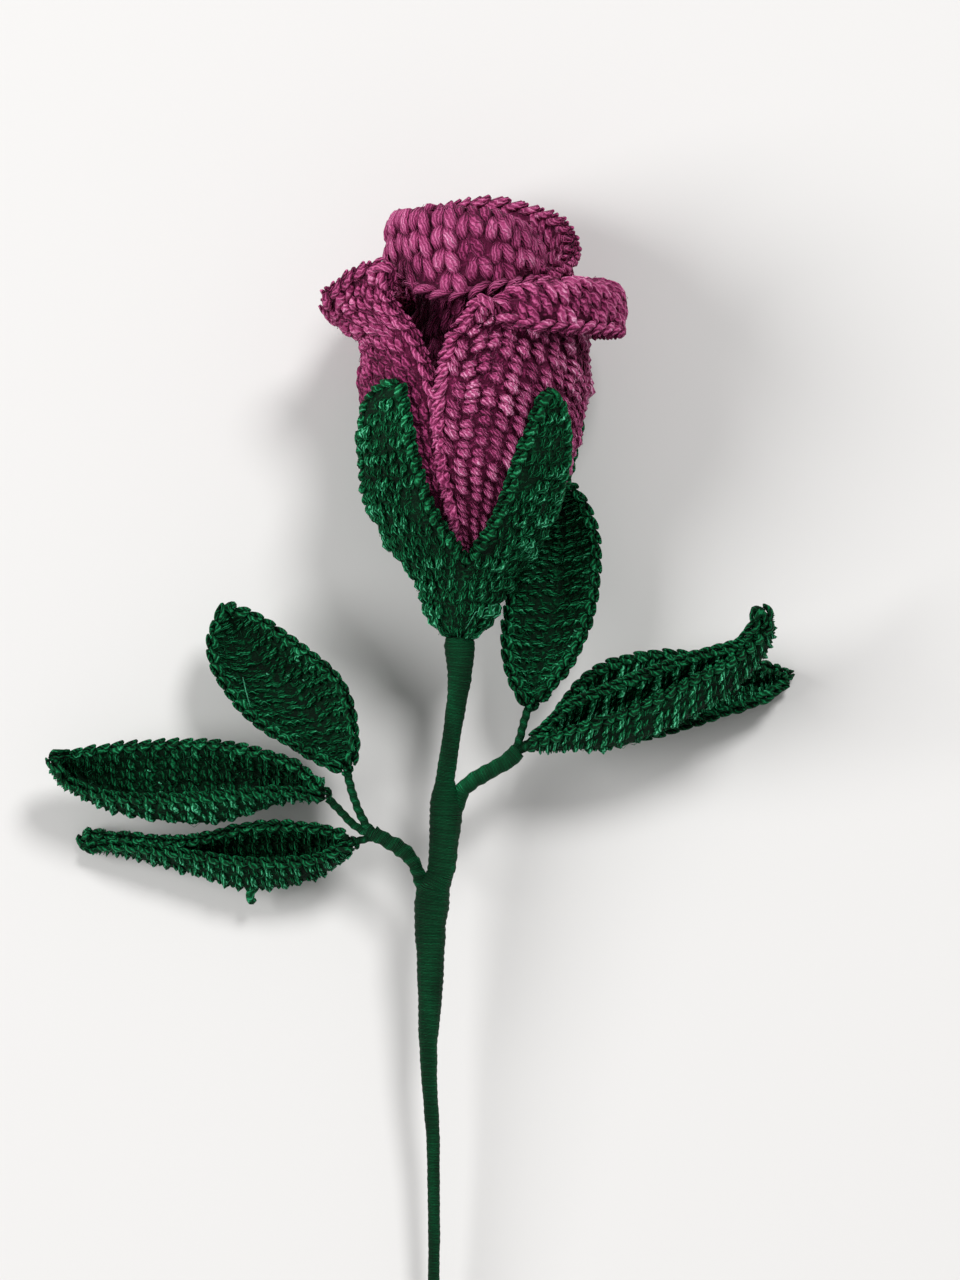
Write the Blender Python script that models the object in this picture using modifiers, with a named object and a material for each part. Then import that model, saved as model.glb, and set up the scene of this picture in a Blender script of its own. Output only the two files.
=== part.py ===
"""Crocheted yarn rose on a wound wire stem, lying on its back at rest.

Metres, +Z up, +Y towards the flower. Lengths in the tables are millimetres.
Positions are read on a layout sheet: columns across, rows down, SHEET_STEP apart,
with the height above the ground as a third value.
"""
import bpy
import bmesh
import numpy as np
from math import cos, sin, radians
from mathutils import Vector

MM = 0.001
SHEET_STEP = 0.2
MID_COLUMN = 417.0
MID_ROW = 951.0

# Head: the axis lies HEAD_HEIGHT above the ground at row 300 and sinks along the stem.
HEAD_HEIGHT = 27.0
AXIS_ROW = 300.0
CUT_ROW = 1697.0
AXIS_COLUMNS = [(197, 474), (300, 474), (400, 473), (450, 469), (500, 464), (560, 465), (632, 460)]

# Crocheted cloth and thread.
CLOTH = 2.4
BRAID = 3.2
LEAF_CLOTH = 2.2
LEAF_INSET = 1.2
ROW_RIDGE = 0.3
EDGE_STEP = 0.45
LAYER = BRAID / 2 + CLOTH / 2 + 2 * ROW_RIDGE + 0.1

# Middle of the calyx's cloth: radius at each row. The petals lie inside it, a LAYER apart.
CUP = [(631, 2.0), (629, 3.2), (618, 5.0), (605, 6.6), (590, 7.7), (575, 9.1), (560, 11.6), (545, 14.0),
       (520, 16.9), (500, 19.3), (470, 21.6), (440, 23.5), (400, 24.6), (380, 24.8)]

WIRE_RADIUS = 0.6
WIRE_CHANNEL = WIRE_RADIUS + 0.25
LEAF_WIRE_RADIUS = 0.3
PETIOLE_CHANNEL = LEAF_WIRE_RADIUS + 0.25
PETIOLE_RADIUS = PETIOLE_CHANNEL + 0.27
BRANCH_CHANNEL = 1.1
WIRE_SPREAD = 0.5
WIRE_TOP_ROW = 560.0
WRAP_TOP_ROW = 638.0

SINK = (HEAD_HEIGHT - 1.3) / ((CUT_ROW - AXIS_ROW) * SHEET_STEP)


def on_sheet(column, row, height):
    return np.array([(column - MID_COLUMN) * SHEET_STEP, (MID_ROW - row) * SHEET_STEP, height])


def axis_height(row):
    return HEAD_HEIGHT - (row - AXIS_ROW) * SHEET_STEP * SINK


def axis_column(row):
    rows, columns = zip(*AXIS_COLUMNS)
    return np.interp(row, rows, columns)


def cup_radius(row):
    rows, radii = zip(*reversed(CUP))
    return np.interp(row, rows, radii)


def layer_radius(row, layers):
    """Radius of the cloth that lies this many layers inside the calyx, square to its slope."""
    slope = (cup_radius(row - 20) - cup_radius(row + 20)) / (40 * SHEET_STEP)
    return cup_radius(row) - layers * LAYER * np.sqrt(1 + slope * slope)


def around_head(angle, radius, row):
    centre = on_sheet(axis_column(row), row, axis_height(row))
    turn = radians(angle)
    return centre + np.array([radius * sin(turn), 0.0, radius * cos(turn)])


def smooth_through(points, places):
    """Smooth curve through the points, read at places counted in points."""
    points = np.asarray(points, float)
    last = len(points) - 1
    before = 2 * points[0] - points[1]
    after = 2 * points[last] - points[last - 1]
    padded = np.vstack([before, points, after])
    found = []
    for place in places:
        k = min(int(place), last - 1)
        f = place - k
        a, b, c, d = padded[k:k + 4]
        found.append(b + 0.5 * f * (c - a + f * (2 * a - 5 * b + 4 * c - d + f * (3 * (b - c) + d - a))))
    return np.array(found)


def evenly(points, count):
    """The same curve with count points spaced evenly along it."""
    run = np.concatenate([[0], np.cumsum(np.linalg.norm(np.diff(points, axis=0), axis=1))])
    marks = np.linspace(0, run[-1], count)
    return np.array([np.interp(marks, run, points[:, k]) for k in range(3)]).T


def petal_lines(petal, across, along):
    """Lines from the petal's base to its rim, one for each place across it."""
    marks = [station[0] for station in petal["lip"]]
    places = np.interp(np.linspace(0, 1, across + 1), marks, range(len(marks)))
    table = [np.array(station[1:2] + sum(station[2:], ())) for station in petal["lip"]]
    lines = []
    for t, values in zip(np.linspace(0, 1, across + 1), smooth_through(table, places)):
        rows = list(np.linspace(petal["base"], values[0], 5)) + list(values[2::2])
        layers = petal["layer"] + petal.get("wind", 0) * t
        radii = [layer_radius(row, layers) for row in rows[:5]] + list(values[1::2])
        front = np.array(petal["front"])
        angles = front + (np.array(petal["back"]) - front) * t
        knots = [around_head(*knot) for knot in zip(angles, radii, rows)]
        lines.append(evenly(smooth_through(knots, np.linspace(0, 7, 57)), along + 1))
    return np.array(lines)


def leaf_lines(stations, across, along):
    """Lines from edge to edge turned into lines from the base to the tip. The stations
    lie on the leaf's outline, so the middle of its cloth is drawn in by LEAF_INSET."""
    net = np.array([[on_sheet(*point) for point in station] for station in stations])
    middle = (net.min(axis=1, keepdims=True) + net.max(axis=1, keepdims=True)) / 2
    reach = np.linalg.norm((net - middle)[:, :, :2], axis=2).max(axis=1)
    narrower = 1 - np.minimum(LEAF_INSET / reach, 0.4)
    net[:, :, :2] = middle[:, :, :2] + (net - middle)[:, :, :2] * narrower[:, None, None]
    inwards = middle[-2] - middle[-1]
    net[-1] += inwards / np.linalg.norm(inwards) * LEAF_INSET
    places = np.linspace(0, len(stations) - 1, along + 1)
    long_way = np.array([smooth_through(net[:, k], places) for k in range(net.shape[1])])
    rows = [evenly(smooth_through(long_way[:, k], np.linspace(0, net.shape[1] - 1, 33)), across + 1)
            for k in range(along + 1)]
    return np.array(rows).transpose(1, 0, 2)


def normals_of(lines, closed=False):
    if closed:
        over = np.roll(lines, -1, axis=0) - np.roll(lines, 1, axis=0)
    else:
        over = np.gradient(lines, axis=0)
    up = np.gradient(lines, axis=1)
    normal = np.cross(over, up)
    return normal / np.maximum(np.linalg.norm(normal, axis=2, keepdims=True), 1e-9)


def ridged(lines, height, closed=False):
    """Neighbouring lines raised and lowered in turn, as rows of stitches are."""
    sign = np.where(np.arange(len(lines)) % 2, 1.0, -1.0)[:, None, None]
    fade = np.ones(lines.shape[1])
    fade[-1] = 0.3
    return lines + normals_of(lines, closed) * height * sign * fade[None, :, None]


def stepped_rim(lines, height):
    """The last point of every other line pulled back, as a braid's scallops are."""
    lines = lines.copy()
    pull = lines[:, -1] - lines[:, -2]
    pull /= np.linalg.norm(pull, axis=1, keepdims=True)
    lines[1::2, -1] -= pull[1::2] * height
    return lines


materials = {}


def material(name, colour, roughness, metallic=0.0, sheen=0.0):
    if name not in materials:
        made = bpy.data.materials.new(name)
        made.use_nodes = True
        shader = made.node_tree.nodes["Principled BSDF"]
        shader.inputs["Base Color"].default_value = (*colour, 1.0)
        shader.inputs["Roughness"].default_value = roughness
        shader.inputs["Metallic"].default_value = metallic
        shader.inputs["Sheen Weight"].default_value = sheen
        materials[name] = made
    return materials[name]


def keep(obj, name, surface):
    obj.name = name
    obj.data.name = name
    obj.data.materials.clear()
    obj.data.materials.append(surface)
    for other in obj.users_collection:
        other.objects.unlink(obj)
    rose.objects.link(obj)
    return obj


def cloth(name, lines, surface, thickness, rim, closed=False, thick_sides=True):
    """A grid laid through the lines, with thickness; its free edges are the thicker braid."""
    across, along = lines.shape[0] - 1, lines.shape[1] - 1
    bpy.ops.mesh.primitive_grid_add(x_subdivisions=across, y_subdivisions=along, size=2)
    obj = bpy.context.object
    edge = []
    for vertex in obj.data.vertices:
        i = round((vertex.co.x + 1) / 2 * across)
        j = round((vertex.co.y + 1) / 2 * along)
        vertex.co = Vector(lines[i, j]) * MM
        side = i in (0, across) and not closed and thick_sides
        if j == along or side:
            edge.append(vertex.index)
    group = obj.vertex_groups.new(name="braid")
    group.add(list(range(len(obj.data.vertices))), 0.0, "REPLACE")
    group.add(edge, 1.0, "REPLACE")
    if closed:
        shape = bmesh.new()
        shape.from_mesh(obj.data)
        bmesh.ops.remove_doubles(shape, verts=shape.verts, dist=1e-5)
        shape.to_mesh(obj.data)
        shape.free()
    solid = obj.modifiers.new("thickness", "SOLIDIFY")
    solid.thickness = rim * MM
    solid.offset = 0.0
    solid.vertex_group = group.name
    solid.thickness_vertex_group = thickness / rim
    return keep(obj, name, surface)


def rod(name, points, radii, sides_step=2):
    """A round rod along the points; radii is one radius or one for each point."""
    curve = bpy.data.curves.new(name, "CURVE")
    curve.dimensions = "3D"
    curve.bevel_depth = MM
    curve.bevel_resolution = sides_step
    curve.use_fill_caps = True
    spline = curve.splines.new("POLY")
    spline.points.add(len(points) - 1)
    radii = np.broadcast_to(radii, len(points))
    for knot, point, radius in zip(spline.points, points, radii):
        knot.co = (*(Vector(point) * MM), 1.0)
        knot.radius = radius
    guide = bpy.data.objects.new("guide", curve)
    bpy.context.scene.collection.objects.link(guide)
    bpy.context.view_layer.update()
    mesh = bpy.data.meshes.new_from_object(guide)
    obj = bpy.data.objects.new(name, mesh)
    bpy.context.scene.collection.objects.link(obj)
    bpy.data.objects.remove(guide)
    shape = bmesh.new()
    shape.from_mesh(mesh)
    bmesh.ops.remove_doubles(shape, verts=shape.verts, dist=1e-6)
    bmesh.ops.recalc_face_normals(shape, faces=shape.faces)
    shape.to_mesh(mesh)
    shape.free()
    return obj


def combine(obj, tools, operation):
    """One exact Boolean with all the tools, which go into a collection of their own."""
    group = bpy.data.collections.new(obj.name + "_" + operation.lower())
    cutters.children.link(group)
    for tool in tools:
        for other in tool.users_collection:
            other.objects.unlink(tool)
        group.objects.link(tool)
        tool.hide_render = True
        tool.display_type = "WIRE"
    step = obj.modifiers.new(operation.lower(), "BOOLEAN")
    step.operand_type = "COLLECTION"
    step.collection = group
    step.operation = operation
    step.solver = "EXACT"
    step.use_self = True


for old in list(bpy.data.objects):
    bpy.data.objects.remove(old)
rose = bpy.data.collections.new("crocheted_rose")
cutters = bpy.data.collections.new("cutters")
bpy.context.scene.collection.children.link(rose)
bpy.context.scene.collection.children.link(cutters)

petal_yarn = material("petal_yarn", (0.46, 0.085, 0.25), 0.75, sheen=0.4)
leaf_yarn = material("leaf_yarn", (0.004, 0.10, 0.035), 0.75, sheen=0.3)
calyx_yarn = material("calyx_yarn", (0.005, 0.12, 0.042), 0.75, sheen=0.3)
stem_thread = material("stem_thread", (0.004, 0.085, 0.03), 0.6, sheen=0.2)
wire_metal = material("wire_metal", (0.42, 0.42, 0.43), 0.4, metallic=1.0)

# Petals. Angles turn about the head's axis, 0 facing up and 90 to the right.
# "front" and "back" hold the angles of the two side edges at the base, three body rows,
# the neck and three lip rows. A lip station holds the place across the petal, the neck's
# row, and the lip's three (radius, row) points from the neck to the rim.
PETALS = {
    "petal_right": {
        "base": 572, "layer": 1, "across": 32, "along": 9,
        "front": (14, -5, -13, -15, -9, -5, 0, 3),
        "back": (105, 128, 140, 145, 147, 147, 147, 147),
        "lip": [
            (0.0, 345, (21.6, 334), (22.2, 320), (22.8, 309)),
            (0.15, 325, (22.4, 299), (24.8, 301), (25.4, 322)),
            (0.3, 322, (22.9, 291), (26.0, 296), (26.6, 324)),
            (0.5, 322, (23.6, 289), (27.8, 295), (28.2, 325)),
            (0.65, 322, (24.0, 289), (28.6, 297), (28.6, 327)),
            (0.8, 322, (23.4, 292), (26.8, 300), (26.8, 325)),
            (1.0, 322, (22.4, 298), (24.2, 304), (24.4, 322)),
        ],
    },
    "petal_left": {
        "base": 572, "layer": 1, "across": 24, "along": 8,
        "front": (2, -13, -19, -24, -36, -44, -53, -49),
        "back": (-100, -125, -138, -143, -145, -145, -145, -145),
        "lip": [
            (0.0, 345, (22.0, 326), (23.1, 298), (23.6, 274)),
            (0.15, 342, (22.6, 325), (24.5, 302), (25.4, 281)),
            (0.3, 341, (23.3, 329), (26.5, 313), (28.8, 302)),
            (0.42, 341, (23.3, 333), (25.6, 324), (27.2, 317)),
            (0.55, 341, (23.0, 331), (24.8, 323), (26.2, 318)),
            (0.75, 338, (22.6, 322), (24.4, 306), (25.4, 293)),
            (1.0, 330, (21.9, 308), (22.8, 287), (23.4, 270)),
        ],
    },
    "petal_back": {
        "base": 542, "layer": 2, "across": 26, "along": 7,
        "front": (125, 112, 104, 100, 100, 100, 100, 100),
        "back": (235, 248, 256, 260, 260, 260, 260, 260),
        "lip": [
            (0.0, 340, (18.2, 328), (18.2, 316), (18.3, 306)),
            (0.3, 340, (18.3, 328), (18.5, 314), (18.9, 303)),
            (0.5, 340, (19.5, 322), (22.4, 308), (24.7, 318)),
            (0.7, 340, (18.3, 328), (18.5, 314), (18.9, 303)),
            (1.0, 340, (18.2, 328), (18.2, 316), (18.3, 306)),
        ],
    },
    "petal_inner_back": {
        "base": 510, "layer": 3, "across": 24, "along": 7,
        "front": (80, 70, 60, 52, 50, 50, 50, 50),
        "back": (215, 222, 226, 230, 230, 230, 230, 230),
        "lip": [
            (0.0, 330, (15.6, 310), (16.4, 297), (17.2, 286)),
            (0.2, 322, (16.0, 294), (17.8, 277), (19.0, 264)),
            (0.3, 315, (16.2, 278), (17.9, 258), (19.0, 243)),
            (0.42, 305, (16.4, 260), (18.0, 240), (18.9, 224)),
            (0.56, 300, (16.4, 246), (17.6, 226), (18.4, 212)),
            (0.7, 300, (16.2, 241), (17.3, 221), (18.0, 207)),
            (1.0, 300, (15.6, 256), (16.2, 240), (16.6, 228)),
        ],
    },
    "petal_centre": {
        "base": 462, "layer": 4, "wind": 1.15, "across": 44, "along": 8,
        "front": (-130, -130, -130, -130, -130, -130, -130, -130),
        "back": (290, 290, 290, 290, 290, 290, 290, 290),
        "lip": [
            (0.0, 262, (12.4, 244), (13.8, 232), (14.6, 244)),
            (0.14, 262, (13.2, 224), (16.0, 224), (16.5, 266)),
            (0.26, 262, (13.2, 219), (16.6, 224), (17.0, 292)),
            (0.34, 262, (12.8, 222), (16.2, 228), (16.6, 284)),
            (0.43, 264, (12.0, 236), (14.8, 242), (15.0, 277)),
            (0.52, 266, (10.8, 252), (12.8, 256), (13.0, 272)),
            (0.68, 262, (10.0, 244), (10.2, 232), (10.6, 222)),
            (0.85, 262, (8.8, 246), (8.8, 236), (8.8, 226)),
            (1.0, 262, (7.8, 248), (7.8, 238), (7.8, 228)),
        ],
    },
}
for name, petal in PETALS.items():
    lines = petal_lines(petal, petal["across"], petal["along"])
    lines = stepped_rim(ridged(lines, ROW_RIDGE), EDGE_STEP)
    cloth(name, lines, petal_yarn, CLOTH, BRAID)

# Calyx: one crocheted cup with four sepals, each outlined by (degrees from its centre
# line, row) from its tip down its two sides; the notches between them end at NOTCH_ROWS.
SEPAL_ANGLES = (-45, 47, 135, 225)
SEPAL_SIDE = [(9, 394), (14, 412), (17.5, 440), (21, 475), (25, 505)]
SEPALS = [
    {"tip": (7, 387), "after": [(9.5, 403), (13, 440), (17, 480), (20.5, 512)],
     "before": [(3, 393), (11, 404), (15, 422), (18, 445), (22, 470), (32, 500)]},
    {"tip": (-9.5, 397), "after": [(-4, 406), (2, 426), (8, 450), (15, 480), (23, 505)],
     "before": [(12, 409), (15, 437), (18.5, 467), (19.5, 500), (23, 530)]},
    {"tip": (0, 388), "after": SEPAL_SIDE, "before": SEPAL_SIDE},
    {"tip": (0, 388), "after": SEPAL_SIDE, "before": SEPAL_SIDE},
]
NOTCH_ROWS = (567, 520, 546, 520)
CALYX_ALONG = 9


def calyx_rim():
    rim = []
    for k, centre in enumerate(SEPAL_ANGLES):
        following = SEPAL_ANGLES[(k + 1) % 4] + (360 if k == 3 else 0)
        half = (following - centre) / 2
        notch = NOTCH_ROWS[k]
        after, before = SEPALS[k]["after"], SEPALS[(k + 1) % 4]["before"]
        down = after + [((after[-1][0] + half) / 2, (after[-1][1] + notch) / 2 + 6)]
        up = before + [((before[-1][0] + half) / 2, (before[-1][1] + notch) / 2 + 6)]
        rim.append((centre + SEPALS[k]["tip"][0], SEPALS[k]["tip"][1]))
        rim += [(centre + a, row) for a, row in down] + [(centre + half, notch)]
        rim += [(following - a, row) for a, row in up[::-1]]
    return rim


rim = calyx_rim()
calyx_lines = []
for k, (angle, top) in enumerate(rim + rim[:1]):
    base_angle = rim[0][0] + 360 * k / len(rim)
    final = angle if k < len(rim) else angle + 360
    shares = np.linspace(0, 1, 33)
    rows = 631 + (top - 631) * shares
    blend = np.clip((631 - rows) / 90, 0, 1)
    angles = base_angle + (final - base_angle) * blend
    line = np.array([around_head(a, cup_radius(r), r) for a, r in zip(angles, rows)])
    calyx_lines.append(evenly(line, CALYX_ALONG + 1))
calyx_lines = np.array(calyx_lines)
ring = calyx_lines[:-1]
ring = ridged(ring, 0.2, closed=True)
cloth("calyx", np.concatenate([ring, ring[:1]]), calyx_yarn, CLOTH, CLOTH + 0.5, closed=True)

# Leaves: stations from base to tip, each read from one edge over the midrib to the other.
LEAVES = {
    "leaf_left_upper": [
        [(353, 762, 17), (350, 766, 16.2), (346, 769, 15.8), (340, 769, 16.2), (334, 768, 17)],
        [(358, 735, 18), (345, 735, 14), (325, 738, 12), (305, 743, 13.5), (292, 746, 16.5)],
        [(343, 682, 18.5), (325, 685, 13.5), (298, 700, 11), (268, 712, 12), (247, 716, 15.5)],
        [(300, 645, 18), (285, 655, 13.5), (262, 668, 11), (235, 680, 12), (216, 676, 15)],
        [(262, 618, 16.5), (250, 625, 13.5), (235, 635, 12), (218, 642, 13), (209, 645, 14.5)],
        [(240, 606, 15), (232, 603, 14.2), (226, 603, 14), (219, 606, 14.2), (214, 612, 14.6)],
    ],
    "leaf_left_middle": [
        [(320, 786, 16.8), (324, 789, 16), (325, 794, 15.6), (323, 799, 16), (317, 799, 16.8)],
        [(285, 757, 16), (283, 770, 12.5), (281, 792, 10.5), (281, 806, 13), (283, 797, 16.5)],
        [(210, 742, 14), (208, 765, 10.5), (207, 803, 8), (207, 826, 12), (209, 803, 16.5)],
        [(122, 745, 13), (118, 768, 10), (116, 798, 8), (118, 816, 11.5), (118, 804, 15)],
        [(68, 752, 13), (64, 764, 11), (62, 778, 10.5), (66, 790, 12), (70, 790, 14)],
        [(58, 748, 16), (51, 752, 15), (47, 758, 14.6), (48, 765, 15), (53, 770, 16)],
    ],
    "leaf_left_lower": [
        [(346, 834, 15.6), (350, 840, 14.8), (352, 847, 14.2), (350, 854, 14.6), (344, 852, 15.6)],
        [(312, 824, 13), (312, 836, 9), (312, 862, 6), (312, 882, 9.5), (310, 866, 13.5)],
        [(252, 823, 11), (250, 838, 6.5), (250, 872, 3.2), (249, 893, 7), (250, 868, 12)],
        [(188, 836, 9), (186, 842, 5), (185, 862, 3), (186, 876, 6), (186, 858, 10)],
        [(128, 834, 7), (125, 839, 4), (122, 848, 2.4), (124, 859, 4), (126, 850, 7)],
        [(86, 832, 3.1), (78, 836, 1.7), (75, 842, 1.0), (79, 849, 1.5), (88, 851, 2.9)],
    ],
    "leaf_right_upper": [
        [(543, 699, 16.5), (537, 702, 15.6), (530, 704, 15.2), (525, 702, 15.6), (520, 698, 16.2)],
        [(577, 655, 15.5), (565, 660, 12.6), (547, 660, 10.5), (522, 665, 12), (505, 660, 15)],
        [(596, 600, 14.5), (582, 602, 11.5), (562, 605, 9), (530, 608, 10), (507, 608, 13)],
        [(599, 545, 13.5), (584, 548, 10.5), (562, 552, 7.6), (538, 556, 6.2), (521, 563, 7)],
        [(588, 505, 12.5), (578, 510, 10.5), (564, 514, 8.2), (550, 520, 6.6), (540, 528, 5.8)],
        [(577, 486, 11.6), (573, 484, 11.2), (568, 484, 10.6), (564, 487, 10.2), (561, 492, 9.8)],
    ],
    "leaf_right_front": [
        [(533, 737, 18.5), (537, 741, 17.6), (538, 746, 17.2), (538, 751, 18), (534, 748, 19)],
        [(572, 701, 20.5), (568, 716, 16.5), (566, 738, 14.8), (567, 753, 18.5), (568, 736, 22.5)],
        [(626, 678, 23), (622, 698, 17.5), (620, 734, 14.8), (622, 748, 20), (624, 718, 25)],
        [(692, 653, 27), (690, 672, 21), (688, 704, 18), (692, 718, 23), (692, 684, 29)],
        [(733, 641, 31), (735, 655, 26), (738, 672, 24), (744, 682, 27), (742, 655, 32)],
        [(748, 625, 36), (756, 632, 33.5), (765, 642, 31.5), (772, 643, 33), (768, 630, 36)],
        [(752, 610, 37.5), (756, 608, 36.5), (761, 608, 36), (766, 609, 36.5), (769, 613, 37.5)],
    ],
    "leaf_right_rear": [
        [(551, 722, 13.0), (546, 727, 12.2), (543, 732, 11.8), (541, 738, 12.2), (543, 744, 12.9)],
        [(592, 671, 12), (592, 690, 8.5), (593, 712, 7), (595, 732, 8.5), (598, 744, 11.5)],
        [(652, 652, 11), (652, 675, 7), (654, 698, 5.5), (656, 720, 7), (658, 736, 10)],
        [(708, 655, 10), (711, 672, 6.2), (714, 690, 4.2), (716, 708, 6), (716, 719, 9.5)],
        [(760, 661, 8.2), (762, 670, 4.6), (763, 682, 2.6), (762, 694, 4.2), (758, 705, 7.7)],
        [(789, 669, 2.9), (791, 671, 1.5), (792, 674, 0.7), (790, 679, 0.8), (786, 685, 1.9)],
    ],
}
for name, stations in LEAVES.items():
    lines = leaf_lines(stations, 6, 20)
    lines[0, 1::2] += (lines[1, 1::2] - lines[0, 1::2]) * 0.2
    lines[-1, 1::2] += (lines[-2, 1::2] - lines[-1, 1::2]) * 0.2
    cloth(name, lines, leaf_yarn, LEAF_CLOTH, LEAF_CLOTH + 0.5)

# Stem: (row, column, radius of the wound thread), then the wires inside it.
STEM = [(WRAP_TOP_ROW, 459.5, 3.3), (660, 460, 2.9), (680, 459.5, 2.35), (700, 457, 2.0), (740, 451, 1.85),
        (780, 445, 1.9), (796, 445, 3.0), (815, 446, 3.3), (840, 444, 3.0), (875, 440, 2.7), (888, 434, 3.3),
        (902, 432, 3.6), (925, 430, 3.2), (950, 430.5, 2.9), (1000, 430, 2.45), (1040, 428, 1.9),
        (1080, 429, 1.6), (1140, 433, 1.35), (1240, 434, 1.2), (1400, 432, 1.2), (1550, 431, 1.2),
        (CUT_ROW, 431, 1.2)]

def stem_at(row):
    rows, columns, _ = zip(*STEM)
    return on_sheet(np.interp(row, rows, columns), row, axis_height(row))


def along_stem(rows):
    return [stem_at(row) for row in rows]


# Each branch starts beside the stem wire inside the wound thread; its last point is the
# joint from which three petioles leave.
BRANCHES = {
    "right": [(447, 872, 16.5), (450.7, 840, 17.1), (453, 815, 17.5), (462, 790, 18.0), (474, 780, 18.0),
              (490, 771, 17.9), (508, 761, 17.7), (518, 751, 17.5)],
    "left": [(423.8, 955, 15.0), (423.3, 925, 15.5), (425, 906, 15.9), (422, 886, 16.3), (416, 867, 16.8),
             (409, 856, 16.9), (398, 847, 17.0), (385, 840, 17.0), (373, 833, 16.9)],
}
BRANCH_RADII = {"right": 1.7, "left": 1.5}
PETIOLES = {
    "leaf_right_upper": [(520, 738, 17.2), (524, 722, 16.6), (529, 706, 15.6)],
    "leaf_right_front": [(524, 748, 17.6), (533.5, 746, 18.0)],
    "leaf_right_rear": [(527, 744, 16.0), (539.5, 736, 13.1)],
    "leaf_left_upper": [(366, 826, 16.9), (358, 810, 16.9), (352, 793, 16.6), (346.5, 771.5, 15.9)],
    "leaf_left_middle": [(362, 831, 17.0), (351, 823, 16.4), (339, 810, 16.2), (328, 799, 15.8)],
    "leaf_left_lower": [(366, 839, 15.8), (354.5, 842.5, 14.5)],
}

# Where each leaf wire lies in its branch: (share across, share up) of WIRE_SPREAD.
WIRE_PLACES = {
    "upper": (0.5, 0.87), "front": (-1.0, 0.0), "middle": (-1.0, 0.0), "rear": (0.5, -0.87), "lower": (0.5, -0.87),
}


def longer(path, extra):
    """The same path carried on straight at both ends."""
    path = [np.array(point) for point in path]
    start = path[0] - path[1]
    end = path[-1] - path[-2]
    path[0] = path[0] + start / np.linalg.norm(start) * extra
    path[-1] = path[-1] + end / np.linalg.norm(end) * extra
    return path


def beside(path, across, up, turn):
    """The path moved sideways, level and upwards, by shares of WIRE_SPREAD."""
    path = np.array(path)
    run = np.gradient(path, axis=0)
    run /= np.linalg.norm(run, axis=1, keepdims=True)
    level = np.cross((0, 0, turn), run)
    level /= np.linalg.norm(level, axis=1, keepdims=True)
    return path + WIRE_SPREAD * (across * level + up * np.cross(run, level) * turn)


wrap_rows = [entry[0] for entry in STEM]
wrap = rod("stem_wrap", along_stem(wrap_rows), [entry[2] for entry in STEM], 3)
keep(wrap, "stem_wrap", stem_thread)
sleeves = []
channels = []
branch_paths = {side: [on_sheet(*point) for point in points] for side, points in BRANCHES.items()}
for side, path in branch_paths.items():
    sleeves.append(rod("sleeve_" + side, path, BRANCH_RADII[side]))
    channels.append(rod("channel_" + side, path, BRANCH_CHANNEL))
leaf_wires = {}
for k, (name, points) in enumerate(PETIOLES.items()):
    _, side, place = name.split("_")
    last, end = branch_paths[side][-2:]
    start = end + (last - end) * (0.25 + 0.06 * k)
    path = [start] + [on_sheet(*point) for point in points]
    sleeves.append(rod("sleeve_" + name, path, PETIOLE_RADIUS, 1))
    channels.append(rod("channel_" + name, longer(path, 0.6), PETIOLE_CHANNEL, 1))
    across, up = WIRE_PLACES[place]
    bundled = beside(branch_paths[side], across, up, 1 if side == "right" else -1)
    leaf_wires[name] = list(bundled[:-1]) + [(start + path[1]) / 2] + path[1:]
wire_rows = [WIRE_TOP_ROW, 600, WRAP_TOP_ROW] + wrap_rows[1:]
channels.append(rod("channel_stem", longer(along_stem(wrap_rows), 1.0), WIRE_CHANNEL, 1))
combine(wrap, sleeves, "UNION")
combine(wrap, channels, "DIFFERENCE")

keep(rod("stem_wire", along_stem(wire_rows), WIRE_RADIUS), "stem_wire", wire_metal)
for name, path in leaf_wires.items():
    keep(rod("wire_" + name, path, LEAF_WIRE_RADIUS, 1), "wire_" + name, wire_metal)
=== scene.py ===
"""Dressed model of a crocheted yarn rose lying on its back on a pale floor.

Lengths in the tables are millimetres. Positions are read on the layout sheet of the
part: columns across, rows down, 0.2 mm apart, with the height as a third value.
"""
import bpy
import numpy as np
from math import cos, sin, radians, pi
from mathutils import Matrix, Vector


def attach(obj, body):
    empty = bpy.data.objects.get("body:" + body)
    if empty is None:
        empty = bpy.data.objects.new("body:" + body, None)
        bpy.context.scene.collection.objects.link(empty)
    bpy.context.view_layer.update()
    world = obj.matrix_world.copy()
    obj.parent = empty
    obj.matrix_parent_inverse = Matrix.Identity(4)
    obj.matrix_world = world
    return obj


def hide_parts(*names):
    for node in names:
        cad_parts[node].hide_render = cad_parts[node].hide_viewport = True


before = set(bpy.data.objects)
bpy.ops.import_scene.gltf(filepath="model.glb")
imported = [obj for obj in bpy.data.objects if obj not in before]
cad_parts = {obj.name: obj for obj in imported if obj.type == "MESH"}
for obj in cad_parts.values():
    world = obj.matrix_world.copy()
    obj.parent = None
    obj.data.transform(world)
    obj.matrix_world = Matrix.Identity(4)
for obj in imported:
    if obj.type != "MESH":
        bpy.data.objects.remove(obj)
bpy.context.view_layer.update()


# Petals. Each is one piece of cloth crocheted in multi-strand pink yarn, in rows that
# fan up from the bottom of the bud, with a braid round its free edge. They are rolled
# round each other and sewn together at the bottom, and their rims are turned outwards.
MM = 0.001
SHEET_STEP = 0.2
MID_COLUMN = 417.0
MID_ROW = 951.0
HEAD_HEIGHT = 27.0
AXIS_ROW = 300.0
CUT_ROW = 1697.0
CUT_HEIGHT = 1.3
SINK = (HEAD_HEIGHT - CUT_HEIGHT) / ((CUT_ROW - AXIS_ROW) * SHEET_STEP)
AXIS_COLUMNS = [(197, 474), (300, 474), (400, 473), (450, 469), (500, 464), (560, 465), (632, 460)]
LAYER = 3.5
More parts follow.
